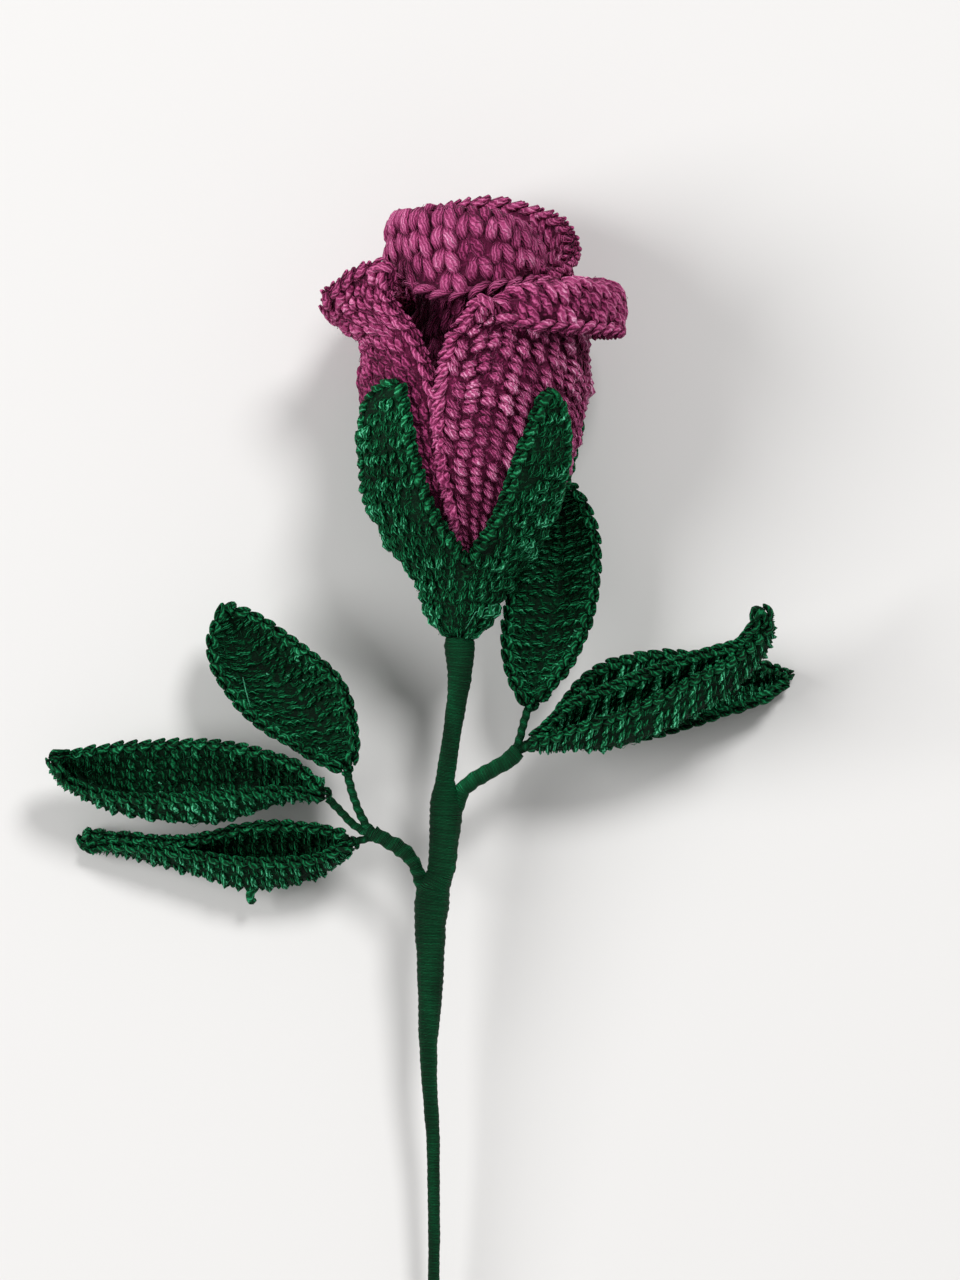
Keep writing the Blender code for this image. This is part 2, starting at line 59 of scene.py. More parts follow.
CUP = [(631, 2.0), (629, 3.2), (618, 5.0), (605, 6.6), (590, 7.7), (575, 9.1), (560, 11.6),
       (545, 14.0), (520, 16.9), (500, 19.3), (470, 21.6), (440, 23.5), (400, 24.6), (380, 24.8)]


# A crocheted piece lies along the same middle surface as its solid: lines from its base
# to its rim, read anywhere by shares across and along.
def on_sheet(column, row, height):
    return np.array([(column - MID_COLUMN) * SHEET_STEP, (MID_ROW - row) * SHEET_STEP, height])


def axis_height(row):
    return HEAD_HEIGHT - (row - AXIS_ROW) * SHEET_STEP * SINK


def axis_column(row):
    rows, columns = zip(*AXIS_COLUMNS)
    return np.interp(row, rows, columns)


def cup_radius(row):
    rows, radii = zip(*reversed(CUP))
    return np.interp(row, rows, radii)


def layer_radius(row, layers):
    slope = (cup_radius(row - 20) - cup_radius(row + 20)) / (40 * SHEET_STEP)
    return cup_radius(row) - layers * LAYER * np.sqrt(1 + slope * slope)


def around_head(angle, radius, row):
    centre = on_sheet(axis_column(row), row, axis_height(row))
    turn = radians(angle)
    return centre + np.array([radius * sin(turn), 0.0, radius * cos(turn)])


def smooth_through(points, places):
    """Smooth curve through the points, read at places counted in points."""
    points = np.asarray(points, float)
    last = len(points) - 1
    padded = np.concatenate([2 * points[:1] - points[1:2], points, 2 * points[-1:] - points[-2:-1]])
    k = np.minimum(np.asarray(places).astype(int), last - 1)
    f = (np.asarray(places) - k).reshape(-1, *[1] * (points.ndim - 1))
    a, b, c, d = padded[k], padded[k + 1], padded[k + 2], padded[k + 3]
    return b + 0.5 * f * (c - a + f * (2 * a - 5 * b + 4 * c - d + f * (3 * (b - c) + d - a)))


def evenly(points, count):
    run = np.concatenate([[0], np.cumsum(np.linalg.norm(np.diff(points, axis=0), axis=1))])
    marks = np.linspace(0, run[-1], count)
    return np.array([np.interp(marks, run, points[:, k]) for k in range(3)]).T


def petal_lines(petal, across, along):
    marks = [station[0] for station in petal["lip"]]
    places = np.interp(np.linspace(0, 1, across + 1), marks, range(len(marks)))
    table = [np.array(station[1:2] + sum(station[2:], ())) for station in petal["lip"]]
    lines = []
    for t, values in zip(np.linspace(0, 1, across + 1), smooth_through(table, places)):
        rows = list(np.linspace(petal["base"], values[0], 5)) + list(values[2::2])
        layers = petal["layer"] + petal.get("wind", 0) * t
        radii = [layer_radius(row, layers) for row in rows[:5]] + list(values[1::2])
        front = np.array(petal["front"])
        angles = front + (np.array(petal["back"]) - front) * t
        knots = [around_head(*knot) for knot in zip(angles, radii, rows)]
        lines.append(evenly(smooth_through(knots, np.linspace(0, 7, 57)), along + 1))
    return np.array(lines)


class Surface:
    """The middle surface of one crocheted piece."""

    def __init__(self, lines, closed=False):
        self.lines = lines
        if closed:
            open_part = lines[:-1]
            over = np.roll(open_part, -1, axis=0) - np.roll(open_part, 1, axis=0)
            over = np.concatenate([over, over[:1]])
        else:
            over = np.gradient(lines, axis=0)
        up = np.gradient(lines, axis=1)
        normals = np.cross(over, up)
        self.normals = normals / np.maximum(np.linalg.norm(normals, axis=2, keepdims=True), 1e-9)

    def read(self, grid, across, along):
        m, n = grid.shape[0] - 1, grid.shape[1] - 1
        x, y = np.asarray(across) * m, np.asarray(along) * n
        i = np.clip(np.floor(x).astype(int), 0, m - 1)
        j = np.clip(np.floor(y).astype(int), 0, n - 1)
        f, g = (x - i)[..., None], (y - j)[..., None]
        low = grid[i, j] * (1 - f) + grid[i + 1, j] * f
        high = grid[i, j + 1] * (1 - f) + grid[i + 1, j + 1] * f
        return low * (1 - g) + high * g

    def at(self, across, along, height=0.0):
        """Points at these shares, this far off the surface."""
        normal = self.read(self.normals, np.clip(across, 0, 1), np.clip(along, 0, 1))
        return self.read(self.lines, across, along) + normal * np.asarray(height)[..., None]

    def row_length(self, across):
        points = self.at(np.full(60, across), np.linspace(0, 1, 60), np.zeros(60))
        return np.linalg.norm(np.diff(points, axis=0), axis=1).sum()

    def width_at(self, along):
        points = self.at(np.linspace(0, 1, 60), np.full(60, along), np.zeros(60))
        return np.linalg.norm(np.diff(points, axis=0), axis=1).sum()

    def area(self):
        lines = self.lines
        a, b = lines[1:, 1:] - lines[:-1, :-1], lines[1:, :-1] - lines[:-1, 1:]
        return 0.5 * np.linalg.norm(np.cross(a, b), axis=2).sum()


# Yarn is several plies twisted together, so each strand carries slanting plies, finer threads on
# them, a soft sheen and a tone of its own. Its colour carries painted shade in the creases and
# between plies and threads, painted light on their crests and a few painted glints.
class Socket:
    """A node socket that takes part in sums."""

    def __init__(self, tree, output):
        self.tree, self.output = tree, output

    def math(self, operation, other=None, third=None, clamp=False):
        node = self.tree.nodes.new("ShaderNodeMath")
        node.operation = operation
        node.use_clamp = clamp
        for slot, value in zip(node.inputs, (self, other, third)):
            if isinstance(value, Socket):
                self.tree.links.new(value.output, slot)
            elif value is not None:
                slot.default_value = value
        return Socket(self.tree, node.outputs[0])

    def __add__(self, other):
        return self.math("ADD", other)

    def __sub__(self, other):
        return self.math("SUBTRACT", other)

    def __mul__(self, other):
        return self.math("MULTIPLY", other)

    def __rmul__(self, other):
        return self.math("MULTIPLY", other)

    def __radd__(self, other):
        return self.math("ADD", other)

    def __rsub__(self, other):
        return (self * -1.0) + other


class Shader:
    """A node material with one Principled BSDF."""

    def __init__(self, name, roughness, sheen, metallic=0.0, tint=(1.0, 1.0, 1.0), gloss=0.5):
        self.material = bpy.data.materials.new(name)
        self.material.use_nodes = True
        self.tree = self.material.node_tree
        self.bsdf = self.tree.nodes["Principled BSDF"]
        self.bsdf.inputs["Roughness"].default_value = roughness
        self.bsdf.inputs["Metallic"].default_value = metallic
        self.bsdf.inputs["Sheen Weight"].default_value = sheen
        self.bsdf.inputs["Sheen Roughness"].default_value = 0.45
        self.bsdf.inputs["Sheen Tint"].default_value = (*tint, 1.0)
        self.bsdf.inputs["Specular IOR Level"].default_value = gloss

    def node(self, kind, output=0, inputs=(), **settings):
        node = self.tree.nodes.new(kind)
        for key, value in settings.items():
            setattr(node, key, value)
        for key, value in dict(inputs).items():
            if isinstance(value, Socket):
                self.tree.links.new(value.output, node.inputs[key])
            else:
                node.inputs[key].default_value = value
        return Socket(self.tree, node.outputs[output])

    def put(self, socket, value):
        self.tree.links.new(value.output, self.bsdf.inputs[socket])

    def ramp(self, place, stops):
        node = self.tree.nodes.new("ShaderNodeValToRGB")
        while len(node.color_ramp.elements) < len(stops):
            node.color_ramp.elements.new(0.5)
        for element, (where, colour) in zip(node.color_ramp.elements, stops):
            element.position = where
            element.color = (*colour, 1.0)
        self.tree.links.new(place.output, node.inputs["Fac"])
        return Socket(self.tree, node.outputs["Color"])


def yarn(name, stops, roughness=0.7, sheen=0.0, plies=3, twist=-0.3, fine=10, bump=0.45,
         gloss=0.08, fibre=0.38, painted_glint=0.0):
    """Twisted yarn: stops are its colours from painted shade in the creases to painted light on the
    lit crests, and its glint setting is the strength of a painted highlight on a few of its
    threads."""
    made = Shader(name, roughness, sheen, 0.0, stops[-1][1], gloss)
    uv = made.node("ShaderNodeUVMap", uv_map="strand")
    parts = made.tree.nodes.new("ShaderNodeSeparateXYZ")
    made.tree.links.new(uv.output, parts.inputs[0])
    along, around = Socket(made.tree, parts.outputs[0]), Socket(made.tree, parts.outputs[1])
    place = made.node("ShaderNodeTexCoord", 3)
    wander = made.node("ShaderNodeTexNoise", 0, {"Vector": place, "Scale": 900.0, "Detail": 1.0})
    broad = made.node("ShaderNodeTexNoise", 0, {"Vector": place, "Scale": 120.0, "Detail": 2.0})
    fuzz = made.node("ShaderNodeTexNoise", 0, {"Vector": place, "Scale": 5200.0, "Detail": 2.0})
    tone = made.node("ShaderNodeAttribute", 2, attribute_name="tone")
    painted_light = made.node("ShaderNodeAttribute", 2, attribute_name="painted_light")
    turn = around * plies + along * twist + wander * 0.35
    ply = (turn * (2 * pi)).math("SINE").math("MULTIPLY_ADD", 0.5, 0.5)
    ply = ply.math("POWER", 0.6)
    thread_turn = around * fine + along * twist * 2.2 + wander * 1.6
    thread = (thread_turn * (2 * pi)).math("SINE").math("MULTIPLY_ADD", 0.5, 0.5)
    # Painted shade and light: the colour follows how high each point stands off the cloth, darker
    # deep in the creases, and plies and threads are painted lighter on their crests and darker
    # between them.
    rise = painted_light.math("POWER", 1.8)
    light = rise * 0.5 + ply * 0.12 + thread * fibre + (tone - 0.5) * 0.13
    light = light + (broad - 0.5) * 0.3 + (fuzz - 0.5) * 0.35 - 0.06
    # Painted highlight: a few thread crests glint brighter where the strand stands proud.
    if painted_glint:
        where = wander.math("MULTIPLY_ADD", 2.6, -0.9, clamp=True)
        light = light + thread.math("POWER", 4.0) * where * rise * painted_glint
    made.put("Base Color", made.ramp(light, stops))
    height = ply * 0.4 + thread * 0.6 + fuzz * 0.35
    relief = {"Height": height, "Strength": bump * 2.4, "Distance": 0.0005}
    made.put("Normal", made.node("ShaderNodeBump", 0, relief))
    made.put("Roughness", (fuzz * 0.25).math("ADD", roughness - 0.12))
    return made.material


# The pink yarn from painted shade deep in the creases to painted light on the lit crests.
PINK_SHADED_TO_LIT = [(0.0, (0.030, 0.001, 0.010)), (0.25, (0.14, 0.009, 0.052)), (0.5, (0.40, 0.052, 0.175)),
        (0.75, (0.62, 0.14, 0.32)), (1.0, (0.92, 0.44, 0.65))]
bud_yarn = yarn("bud_yarn", PINK_SHADED_TO_LIT, sheen=0.06, gloss=0.12, fibre=0.31)
petal_yarn = yarn("petal_yarn", PINK_SHADED_TO_LIT, sheen=0.06, plies=1, fine=4, gloss=0.12, fibre=0.36,
                  painted_glint=0.15)


# A stitch is a few strands. It is modelled once and bent on to every place of the cloth,
# so that the rows follow the piece.
STITCH_RISE = 2.1
BRAID_REACH = 2.3
chance = np.random.default_rng(7)


def strand(path, radii, sides=6, steps=2, flat=0.85):
    """A closed tapered strand through the path, as (points, quads, uv)."""
    path = np.asarray(path, float)
    count = (len(path) - 1) * steps + 1
    places = np.linspace(0, len(path) - 1, count)
    centre = smooth_through(path, places)
    radius = np.maximum(smooth_through(np.asarray(radii, float), places), 0.03).reshape(-1)
    run = np.gradient(centre, axis=0)
    run /= np.linalg.norm(run, axis=1, keepdims=True)
    side = np.cross(run, (0.0, 0.0, 1.0))
    side /= np.maximum(np.linalg.norm(side, axis=1, keepdims=True), 1e-6)
    low = np.cross(run, side)
    turn = np.arange(sides) * 2 * pi / sides
    ring = np.cos(turn)[None, :, None] * side[:, None]
    ring = ring + np.sin(turn)[None, :, None] * low[:, None] * flat
    points = centre[:, None] + ring * radius[:, None, None]
    index = np.arange(count * sides).reshape(count, sides)
    around = np.roll(index, -1, axis=1)
    quads = np.stack([index[:-1], around[:-1], around[1:], index[1:]], axis=2).reshape(-1, 4)
    length = np.concatenate([[0], np.cumsum(np.linalg.norm(np.diff(centre, axis=0), axis=1))])
    u = np.broadcast_to(length[:, None], (count, sides))
    v = np.broadcast_to(np.arange(sides) / sides, (count, sides))
    corners = [(u[:-1], v[:-1]), (u[:-1], v[:-1] + 1 / sides),
               (u[1:], v[1:] + 1 / sides), (u[1:], v[1:])]
    uv = np.stack([np.stack(corner, 2) for corner in corners], axis=2).reshape(-1, 4, 2)
    caps = np.array([(k + 2, k + 1, k, 0) for k in range(1, sides - 1, 2)])
    quads = np.concatenate([quads, caps, caps[:, ::-1] + (count - 1) * sides])
    uv = np.concatenate([uv, np.zeros((2 * len(caps), 4, 2))])
    return points.reshape(-1, 3), quads, uv


def plied(path, radii, count=3, thin=0.56, spread=0.62, twist=0.9, steps=1):
    """Thin strands side by side that turn round each other along the path."""
    path, radii = np.asarray(path, float), np.asarray(radii, float)
    made = []
    for k in range(count):
        turn = 2 * pi * k / count + twist * np.arange(len(path))
        off = np.stack([np.cos(turn), np.zeros(len(path)), np.sin(turn) * 0.8], axis=1)
        made.append(strand(path + off * radii[:, None] * spread, radii * thin, 4, steps, 1.0))
    return made


def together(*strands):
    """Several strands as one stitch."""
    points, quads, uvs, start = [], [], [], 0
    for number, (p, q, uv) in enumerate(strands):
        points.append(p)
        quads.append(q + start)
        uvs.append(uv + np.array([number * 7.3, 0]))
        start += len(p)
    return np.concatenate(points), np.concatenate(quads), np.concatenate(uvs)


class Yarnwork:
    """Collects stitches and makes one mesh object of them."""

    def __init__(self):
        self.points, self.quads, self.uvs, self.tones, self.painted_lights = [], [], [], [], []
        self.start = 0

    # Each point also gets the painted shade and light of its colour: low deep in a crease, high on
    # a lit crest.
    def add(self, points, quads, uv, painted_light, flip=False):
        """points holds one row of points per copy of the stitch."""
        copies, size = points.shape[:2]
        if flip:
            quads, uv = quads[:, ::-1], uv[:, ::-1]
        tone = np.repeat(chance.random(copies), size)
        shift = np.arange(copies)[:, None, None] * size + self.start
        self.points.append(points.reshape(-1, 3))
        self.quads.append((quads[None] + shift).reshape(-1, 4))
        uvs = np.broadcast_to(uv[None], (copies, *uv.shape)).copy()
        uvs[..., 0] += (chance.random(copies) * 40)[:, None, None]
        self.uvs.append(uvs.reshape(-1, 2))
        self.tones.append(tone)
        self.painted_lights.append(np.broadcast_to(painted_light, points.shape[:2]).reshape(-1))
        self.start += copies * size

    def build(self, name, surface):
        points = np.concatenate(self.points) * MM
        points[:, 2] = np.maximum(points[:, 2], 0.0)
        quads = np.concatenate(self.quads)
        mesh = bpy.data.meshes.new(name)
        mesh.vertices.add(len(points))
        mesh.vertices.foreach_set("co", points.ravel())
        mesh.loops.add(quads.size)
        mesh.loops.foreach_set("vertex_index", quads.ravel())
        mesh.polygons.add(len(quads))
        mesh.polygons.foreach_set("loop_start", np.arange(0, quads.size, 4))
        mesh.uv_layers.new(name="strand").data.foreach_set("uv", np.concatenate(self.uvs).ravel())
        for label, values in (("tone", self.tones), ("painted_light", self.painted_lights)):
            made = mesh.attributes.new(label, "FLOAT", "POINT")
            made.data.foreach_set("value", np.concatenate(values))
        mesh.update(calc_edges=True)
        mesh.polygons.foreach_set("use_smooth", np.ones(len(quads), bool))
        obj = bpy.data.objects.new(name, mesh)
        bpy.context.scene.collection.objects.link(obj)
        mesh.materials.append(surface)
        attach(obj, "root")
        return obj


def work_on(work, cloth, cells, stitch, nominal, side=1, wobble=0.12, inner_shade=None):
    """Bends the stitch on to each cell: (across, its width, along, its length) in shares.
    The shade setting is (share along, factor): stitches below that share lie deep in the bud and
    get painted shade, darkened down to the factor."""
    points, quads, uv = stitch
    cells = np.asarray(cells)
    copies = len(cells)
    b = points[None, :, 0] / nominal[0] + chance.normal(0, wobble * 0.4, (copies, 1))
    a = points[None, :, 1] / nominal[1] + chance.normal(0, wobble * 0.5, (copies, 1))
    lift = 1 + chance.normal(0, wobble, (copies, 1))
    h = points[None, :, 2] * lift
    across = cells[:, 0:1] + b * cells[:, 1:2]
    along = cells[:, 2:3] + a * cells[:, 3:4]
    # Painted shade: each point of a strand is painted darker the nearer it lies to the cloth.
    painted_light = np.clip(h / STITCH_RISE, 0, 1)
    if inner_shade:
        painted_light = painted_light * (inner_shade[1] + (1 - inner_shade[1]) * np.clip((along - inner_shade[0]) / 0.12, 0, 1))
    work.add(cloth.at(across, along, side * h), quads, uv, painted_light, flip=side < 0)


def single(work, points, radii, painted_light=0.9, sides=4, steps=1):
    """One loose strand or fibre through the points."""
    shape, quads, uv = strand(points, radii, sides, steps, 1.0)
    work.add(shape[None], quads, uv, np.full((1, len(shape)), painted_light))


def hair(work, points, radius=0.05, painted_light=0.9):
    single(work, points, [radius * 0.9, radius, radius * 0.6], painted_light)


def fuzz_on(work, cloth, spacing, low=1.2, high=2.3):
    """Loose fibres that stand off both faces."""
    for side in (-1, 1):
        for _ in range(int(cloth.area() / spacing ** 2 / 2)):
            across, along = chance.random(2)
            turn = chance.random() * 2 * pi
            reach = 0.9 + chance.random()
            steps = np.array([-1, 0, 1]) * reach
            size = (cloth.width_at(0.6), cloth.row_length(0.5))
            spots = [across + steps * cos(turn) / size[0], along + steps * sin(turn) / size[1]]
            spots = np.clip(spots, 0.02, 0.98)
            rise = np.array([low, low + (high - low) * chance.random(), low - 0.3])
            hair(work, cloth.at(*spots, side * rise))


def rows_of(cloth, pitch, stitch, lean=0.0):
    """Cells in rows from the base to the rim. With lean they bend over towards the far
    side, and new rows start on the near one."""
    count = int(round(cloth.width_at(0.55) / pitch))
    extra = int(abs(lean) * count) + 1 if lean else 0
    cells = []
    for row in range(-extra, count + extra):
        across = (row + 0.5) / count
        number = max(int(round(cloth.row_length(min(max(across, 0), 1)) / stitch)), 1)
        for k in range(number):
            along = (k + 0.5 * (row % 2) - 0.25) / number
            place = across + lean * max(along, 0) ** 2.2
            if 0 < place < 1:
                cells.append((place, 1 / count, along, 1 / number))
    return cells


def edge_path(cloth, sides=True):
    """The free edge: up one side, along the rim and down the other, with frames."""
    run = np.linspace(0, 1, 80)
    parts = []
    if sides:
        parts.append((np.zeros(80), run))
    parts.append((run, np.ones(80)))
    if sides:
        parts.append((np.ones(80), 1 - run))
    across = np.concatenate([p[0] for p in parts])
    along = np.concatenate([p[1] for p in parts])
    points = cloth.at(across, along, np.zeros(len(across)))
    normals = cloth.read(cloth.normals, across, along)
    keep = np.concatenate([[True], np.linalg.norm(np.diff(points, axis=0), axis=1) > 1e-3])
    return points[keep], normals[keep]


def braid_on(work, points, normals, link, pitch, squeeze=1.0, inset=1.3):
    """Chain links one after the other along an edge. Link axes: outward, along, normal."""
    length = np.concatenate([[0], np.cumsum(np.linalg.norm(np.diff(points, axis=0), axis=1))])
    count = max(int(round(length[-1] / pitch)), 1)
    shape, quads, uv = link
    starts = (np.arange(count) + 0.5) * length[-1] / count
    s = starts[:, None] + shape[None, :, 1] * (length[-1] / count / pitch)
    s = np.clip(s, 0, length[-1])
    tangent = np.gradient(points, axis=0)
    kernel = np.ones(7) / 7

    def read(values):
        return np.stack([np.interp(s, length, values[:, k]) for k in range(3)], axis=2)

    padded = [np.pad(tangent[:, k], 3, "edge") for k in range(3)]
    soft = np.stack([np.convolve(values, kernel, "valid") for values in padded], axis=1)
    centre, normal, run = read(points), read(normals), read(soft)
    run /= np.linalg.norm(run, axis=2, keepdims=True)
    out = np.cross(normal, run) * -1.0
    out /= np.linalg.norm(out, axis=2, keepdims=True)
    normal = np.cross(out, run)
    normal *= np.sign((normal * read(normals)).sum(axis=2, keepdims=True))
    lift = 1 + chance.normal(0, 0.08, (count, 1, 1))
    made = centre + out * (shape[None, :, 0:1] * lift - inset)
    made = made + normal * shape[None, :, 2:3] * lift * squeeze
    # Painted shade: a link is painted darker where it lies close in on the edge.
    reach = np.sqrt(shape[:, 0] ** 2 + shape[:, 2] ** 2)
    work.add(made, quads, uv, np.clip(reach / BRAID_REACH, 0, 1)[None], flip=True)


def cloth_sheet(name, lines, thickness, surface, closed=False):
    """The cloth under the stitches: a grid laid through the lines, with thickness, painted dark as
    the shade between the stitches.
    """
    across, along = lines.shape[0] - 1, lines.shape[1] - 1
    bpy.ops.mesh.primitive_grid_add(x_subdivisions=across, y_subdivisions=along, size=2)
    obj = bpy.context.object
    obj.name = obj.data.name = name
    spots = np.empty(len(obj.data.vertices) * 3)
    obj.data.vertices.foreach_get("co", spots)
    spots = spots.reshape(-1, 3)
    i = np.round((spots[:, 0] + 1) / 2 * across).astype(int)
    j = np.round((spots[:, 1] + 1) / 2 * along).astype(int)
    obj.data.vertices.foreach_set("co", (lines[i, j] * MM).ravel())
    if closed:
        bpy.ops.object.mode_set(mode="EDIT")
        bpy.ops.mesh.select_all(action="SELECT")
        bpy.ops.mesh.remove_doubles(threshold=1e-5)
        bpy.ops.object.mode_set(mode="OBJECT")
    solid = obj.modifiers.new("thickness", "SOLIDIFY")
    solid.thickness = thickness * MM
    solid.offset = 0.0
    bpy.ops.object.modifier_apply(modifier=solid.name)
    bpy.ops.object.shade_smooth()
    # Painted shade: the cloth is coloured as if deep in a crease, as the shade between the
    # stitches.
    for label, value in (("tone", 0.5), ("painted_light", 0.18 if "petal" in name else 0.05)):
        made = obj.data.attributes.new(label, "FLOAT", "POINT")
        made.data.foreach_set("value", np.full(len(obj.data.vertices), value))
    obj.data.materials.append(surface)
    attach(obj, "root")
    return obj


def dress(name, cloth, work, braid, surface, closed=False, thickness=1.5):
    """Builds the cloth, its stitches and its braid, the three pieces of one crocheted part, and
    hides its solid.
    """
    lines = cloth.lines if closed else cloth.lines[::2, ::2]
    sheet = cloth_sheet(name + "_cloth", lines, thickness, surface, closed)
    pieces = [work.build(name + "_stitches", surface), braid.build(name + "_braid", surface)]
    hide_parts(name)
    area = cloth.area()
    length = max(cloth.row_length(s) for s in (0.1, 0.3, 0.5, 0.7, 0.9))
    widest = max(cloth.width_at(share) for share in (0.2, 0.4, 0.6, 0.8))


PETALS = {
    "petal_right": {
        "base": 572, "layer": 1,
        "front": (14, -5, -13, -15, -9, -5, 0, 3),
        "back": (105, 128, 140, 145, 147, 147, 147, 147),
        "lip": [
            (0.0, 345, (21.6, 334), (22.2, 320), (22.8, 309)),
            (0.15, 325, (22.4, 299), (24.8, 301), (25.4, 322)),
            (0.3, 322, (22.9, 291), (26.0, 296), (26.6, 324)),
            (0.5, 322, (23.6, 289), (27.8, 295), (28.2, 325)),
            (0.65, 322, (24.0, 289), (28.6, 297), (28.6, 327)),
            (0.8, 322, (23.4, 292), (26.8, 300), (26.8, 325)),
            (1.0, 322, (22.4, 298), (24.2, 304), (24.4, 322)),
        ],
    },
    "petal_left": {
        "base": 572, "layer": 1,
        "front": (2, -13, -19, -24, -36, -44, -53, -49),
        "back": (-100, -125, -138, -143, -145, -145, -145, -145),
        "lip": [
            (0.0, 345, (22.0, 326), (23.1, 298), (23.6, 274)),
            (0.15, 342, (22.6, 325), (24.5, 302), (25.4, 281)),
            (0.3, 341, (23.3, 329), (26.5, 313), (28.8, 302)),
            (0.42, 341, (23.3, 333), (25.6, 324), (27.2, 317)),
            (0.55, 341, (23.0, 331), (24.8, 323), (26.2, 318)),
            (0.75, 338, (22.6, 322), (24.4, 306), (25.4, 293)),
            (1.0, 330, (21.9, 308), (22.8, 287), (23.4, 270)),
        ],
    },
    "petal_back": {
        "base": 542, "layer": 2,
        "front": (125, 112, 104, 100, 100, 100, 100, 100),
        "back": (235, 248, 256, 260, 260, 260, 260, 260),
        "lip": [
            (0.0, 340, (18.2, 328), (18.2, 316), (18.3, 306)),
            (0.3, 340, (18.3, 328), (18.5, 314), (18.9, 303)),
            (0.5, 340, (19.5, 322), (22.4, 308), (24.7, 318)),
            (0.7, 340, (18.3, 328), (18.5, 314), (18.9, 303)),
            (1.0, 340, (18.2, 328), (18.2, 316), (18.3, 306)),
        ],
    },
    "petal_inner_back": {
        "base": 510, "layer": 3,
        "front": (80, 70, 60, 52, 50, 50, 50, 50),
        "back": (215, 222, 226, 230, 230, 230, 230, 230),
        "lip": [
            (0.0, 330, (15.6, 310), (16.4, 297), (17.2, 286)),
            (0.2, 322, (16.0, 294), (17.8, 277), (19.0, 264)),
            (0.3, 315, (16.2, 278), (17.9, 258), (19.0, 243)),
            (0.42, 305, (16.4, 260), (18.0, 240), (18.9, 224)),
            (0.56, 300, (16.4, 246), (17.6, 226), (18.4, 212)),
            (0.7, 300, (16.2, 241), (17.3, 221), (18.0, 207)),
            (1.0, 300, (15.6, 256), (16.2, 240), (16.6, 228)),
        ],
    },
    "petal_centre": {
        "base": 462, "layer": 4, "wind": 1.15,
        "front": (-130, -130, -130, -130, -130, -130, -130, -130),
        "back": (290, 290, 290, 290, 290, 290, 290, 290),
        "lip": [
            (0.0, 262, (12.4, 244), (13.8, 232), (14.6, 244)),
            (0.14, 262, (13.2, 224), (16.0, 224), (16.5, 266)),
            (0.26, 262, (13.2, 219), (16.6, 224), (17.0, 292)),
            (0.34, 262, (12.8, 222), (16.2, 228), (16.6, 284)),
            (0.43, 264, (12.0, 236), (14.8, 242), (15.0, 277)),
            (0.52, 266, (10.8, 252), (12.8, 256), (13.0, 272)),
            (0.68, 262, (10.0, 244), (10.2, 232), (10.6, 222)),
            (0.85, 262, (8.8, 246), (8.8, 236), (8.8, 226)),
            (1.0, 262, (7.8, 248), (7.8, 238), (7.8, 228)),
        ],
    },
}
# A post: two slanting legs that leave one hole, on the inner faces.
LEG = [0.35, 0.95, 0.95, 0.35]
post_stitch = together(
    strand([(0.0, -0.5, 0.1), (0.75, 0.9, 0.95), (1.25, 2.5, 1.0), (1.3, 3.7, 0.1)], LEG),
    strand([(-0.1, -0.5, 0.1), (-0.75, 0.7, 0.8), (-1.0, 2.2, 0.85), (-0.7, 3.5, 0.1)], LEG),
)
# On the bud's rolled rim each post leans, with a second leg behind it.
bud_post = together(
    strand([(-0.9, -0.6, 0.1), (-0.3, 0.7, 1.05), (0.5, 2.2, 1.1), (1.0, 3.7, 0.1)], LEG),
    strand([(0.8, -0.7, 0.1), (1.1, 0.4, 0.8), (1.5, 1.4, 0.75), (1.9, 2.6, 0.1)],
           [0.3, 0.7, 0.7, 0.3]),
)
# A puff: two crosswise loops close together and one slanting away from them, so that
# the row is a ridge of knuckles.
puff = together(
    *plied([(1.5, -1.5, 0.0), (0.9, -0.5, 1.1), (0.2, 0.4, 1.55), (-0.6, 1.2, 1.3),
            (-1.5, 1.9, 0.0)], [0.45, 0.8, 0.9, 0.8, 0.45]),
    *plied([(1.5, 0.1, 0.0), (0.95, 1.0, 0.95), (0.2, 1.9, 1.35), (-0.6, 2.6, 1.1),
            (-1.4, 3.2, 0.0)], [0.45, 0.7, 0.8, 0.7, 0.45]),
    strand([(-1.4, 1.0, 0.1), (-0.6, 1.7, 0.9), (0.7, 2.2, 0.9), (1.5, 3.0, 0.1)],
           [0.3, 0.45, 0.45, 0.3], 4, 1),
)
# A braid link: long loops that lie slanting over the edge, one leg on each face.
link = together(
    strand([(-1.1, -1.9, 0.7), (0.0, -0.9, 1.2), (0.75, 1.0, 1.0), (1.0, 3.0, 0.2)],
           [0.35, 0.8, 0.8, 0.35]),
    strand([(-1.1, -1.9, -0.7), (0.0, -0.9, -1.2), (0.75, 1.0, -1.0), (1.0, 3.0, -0.2)],
           [0.35, 0.8, 0.8, 0.35]),
    strand([(-1.3, -0.4, 1.0), (-0.6, 0.5, 1.35), (0.2, 2.0, 1.15), (0.6, 3.2, 0.5)],
           [0.3, 0.55, 0.55, 0.3]),
)
POST_SIZE = (3.8, 3.2)
ROW_SIZE = (3.8, 3.5)
BUD_ROW_SIZE = (3.0, 4.3)
BUD_LEAN = 0.05
LEAN = {"petal_right": 0.2, "petal_left": 0.08}
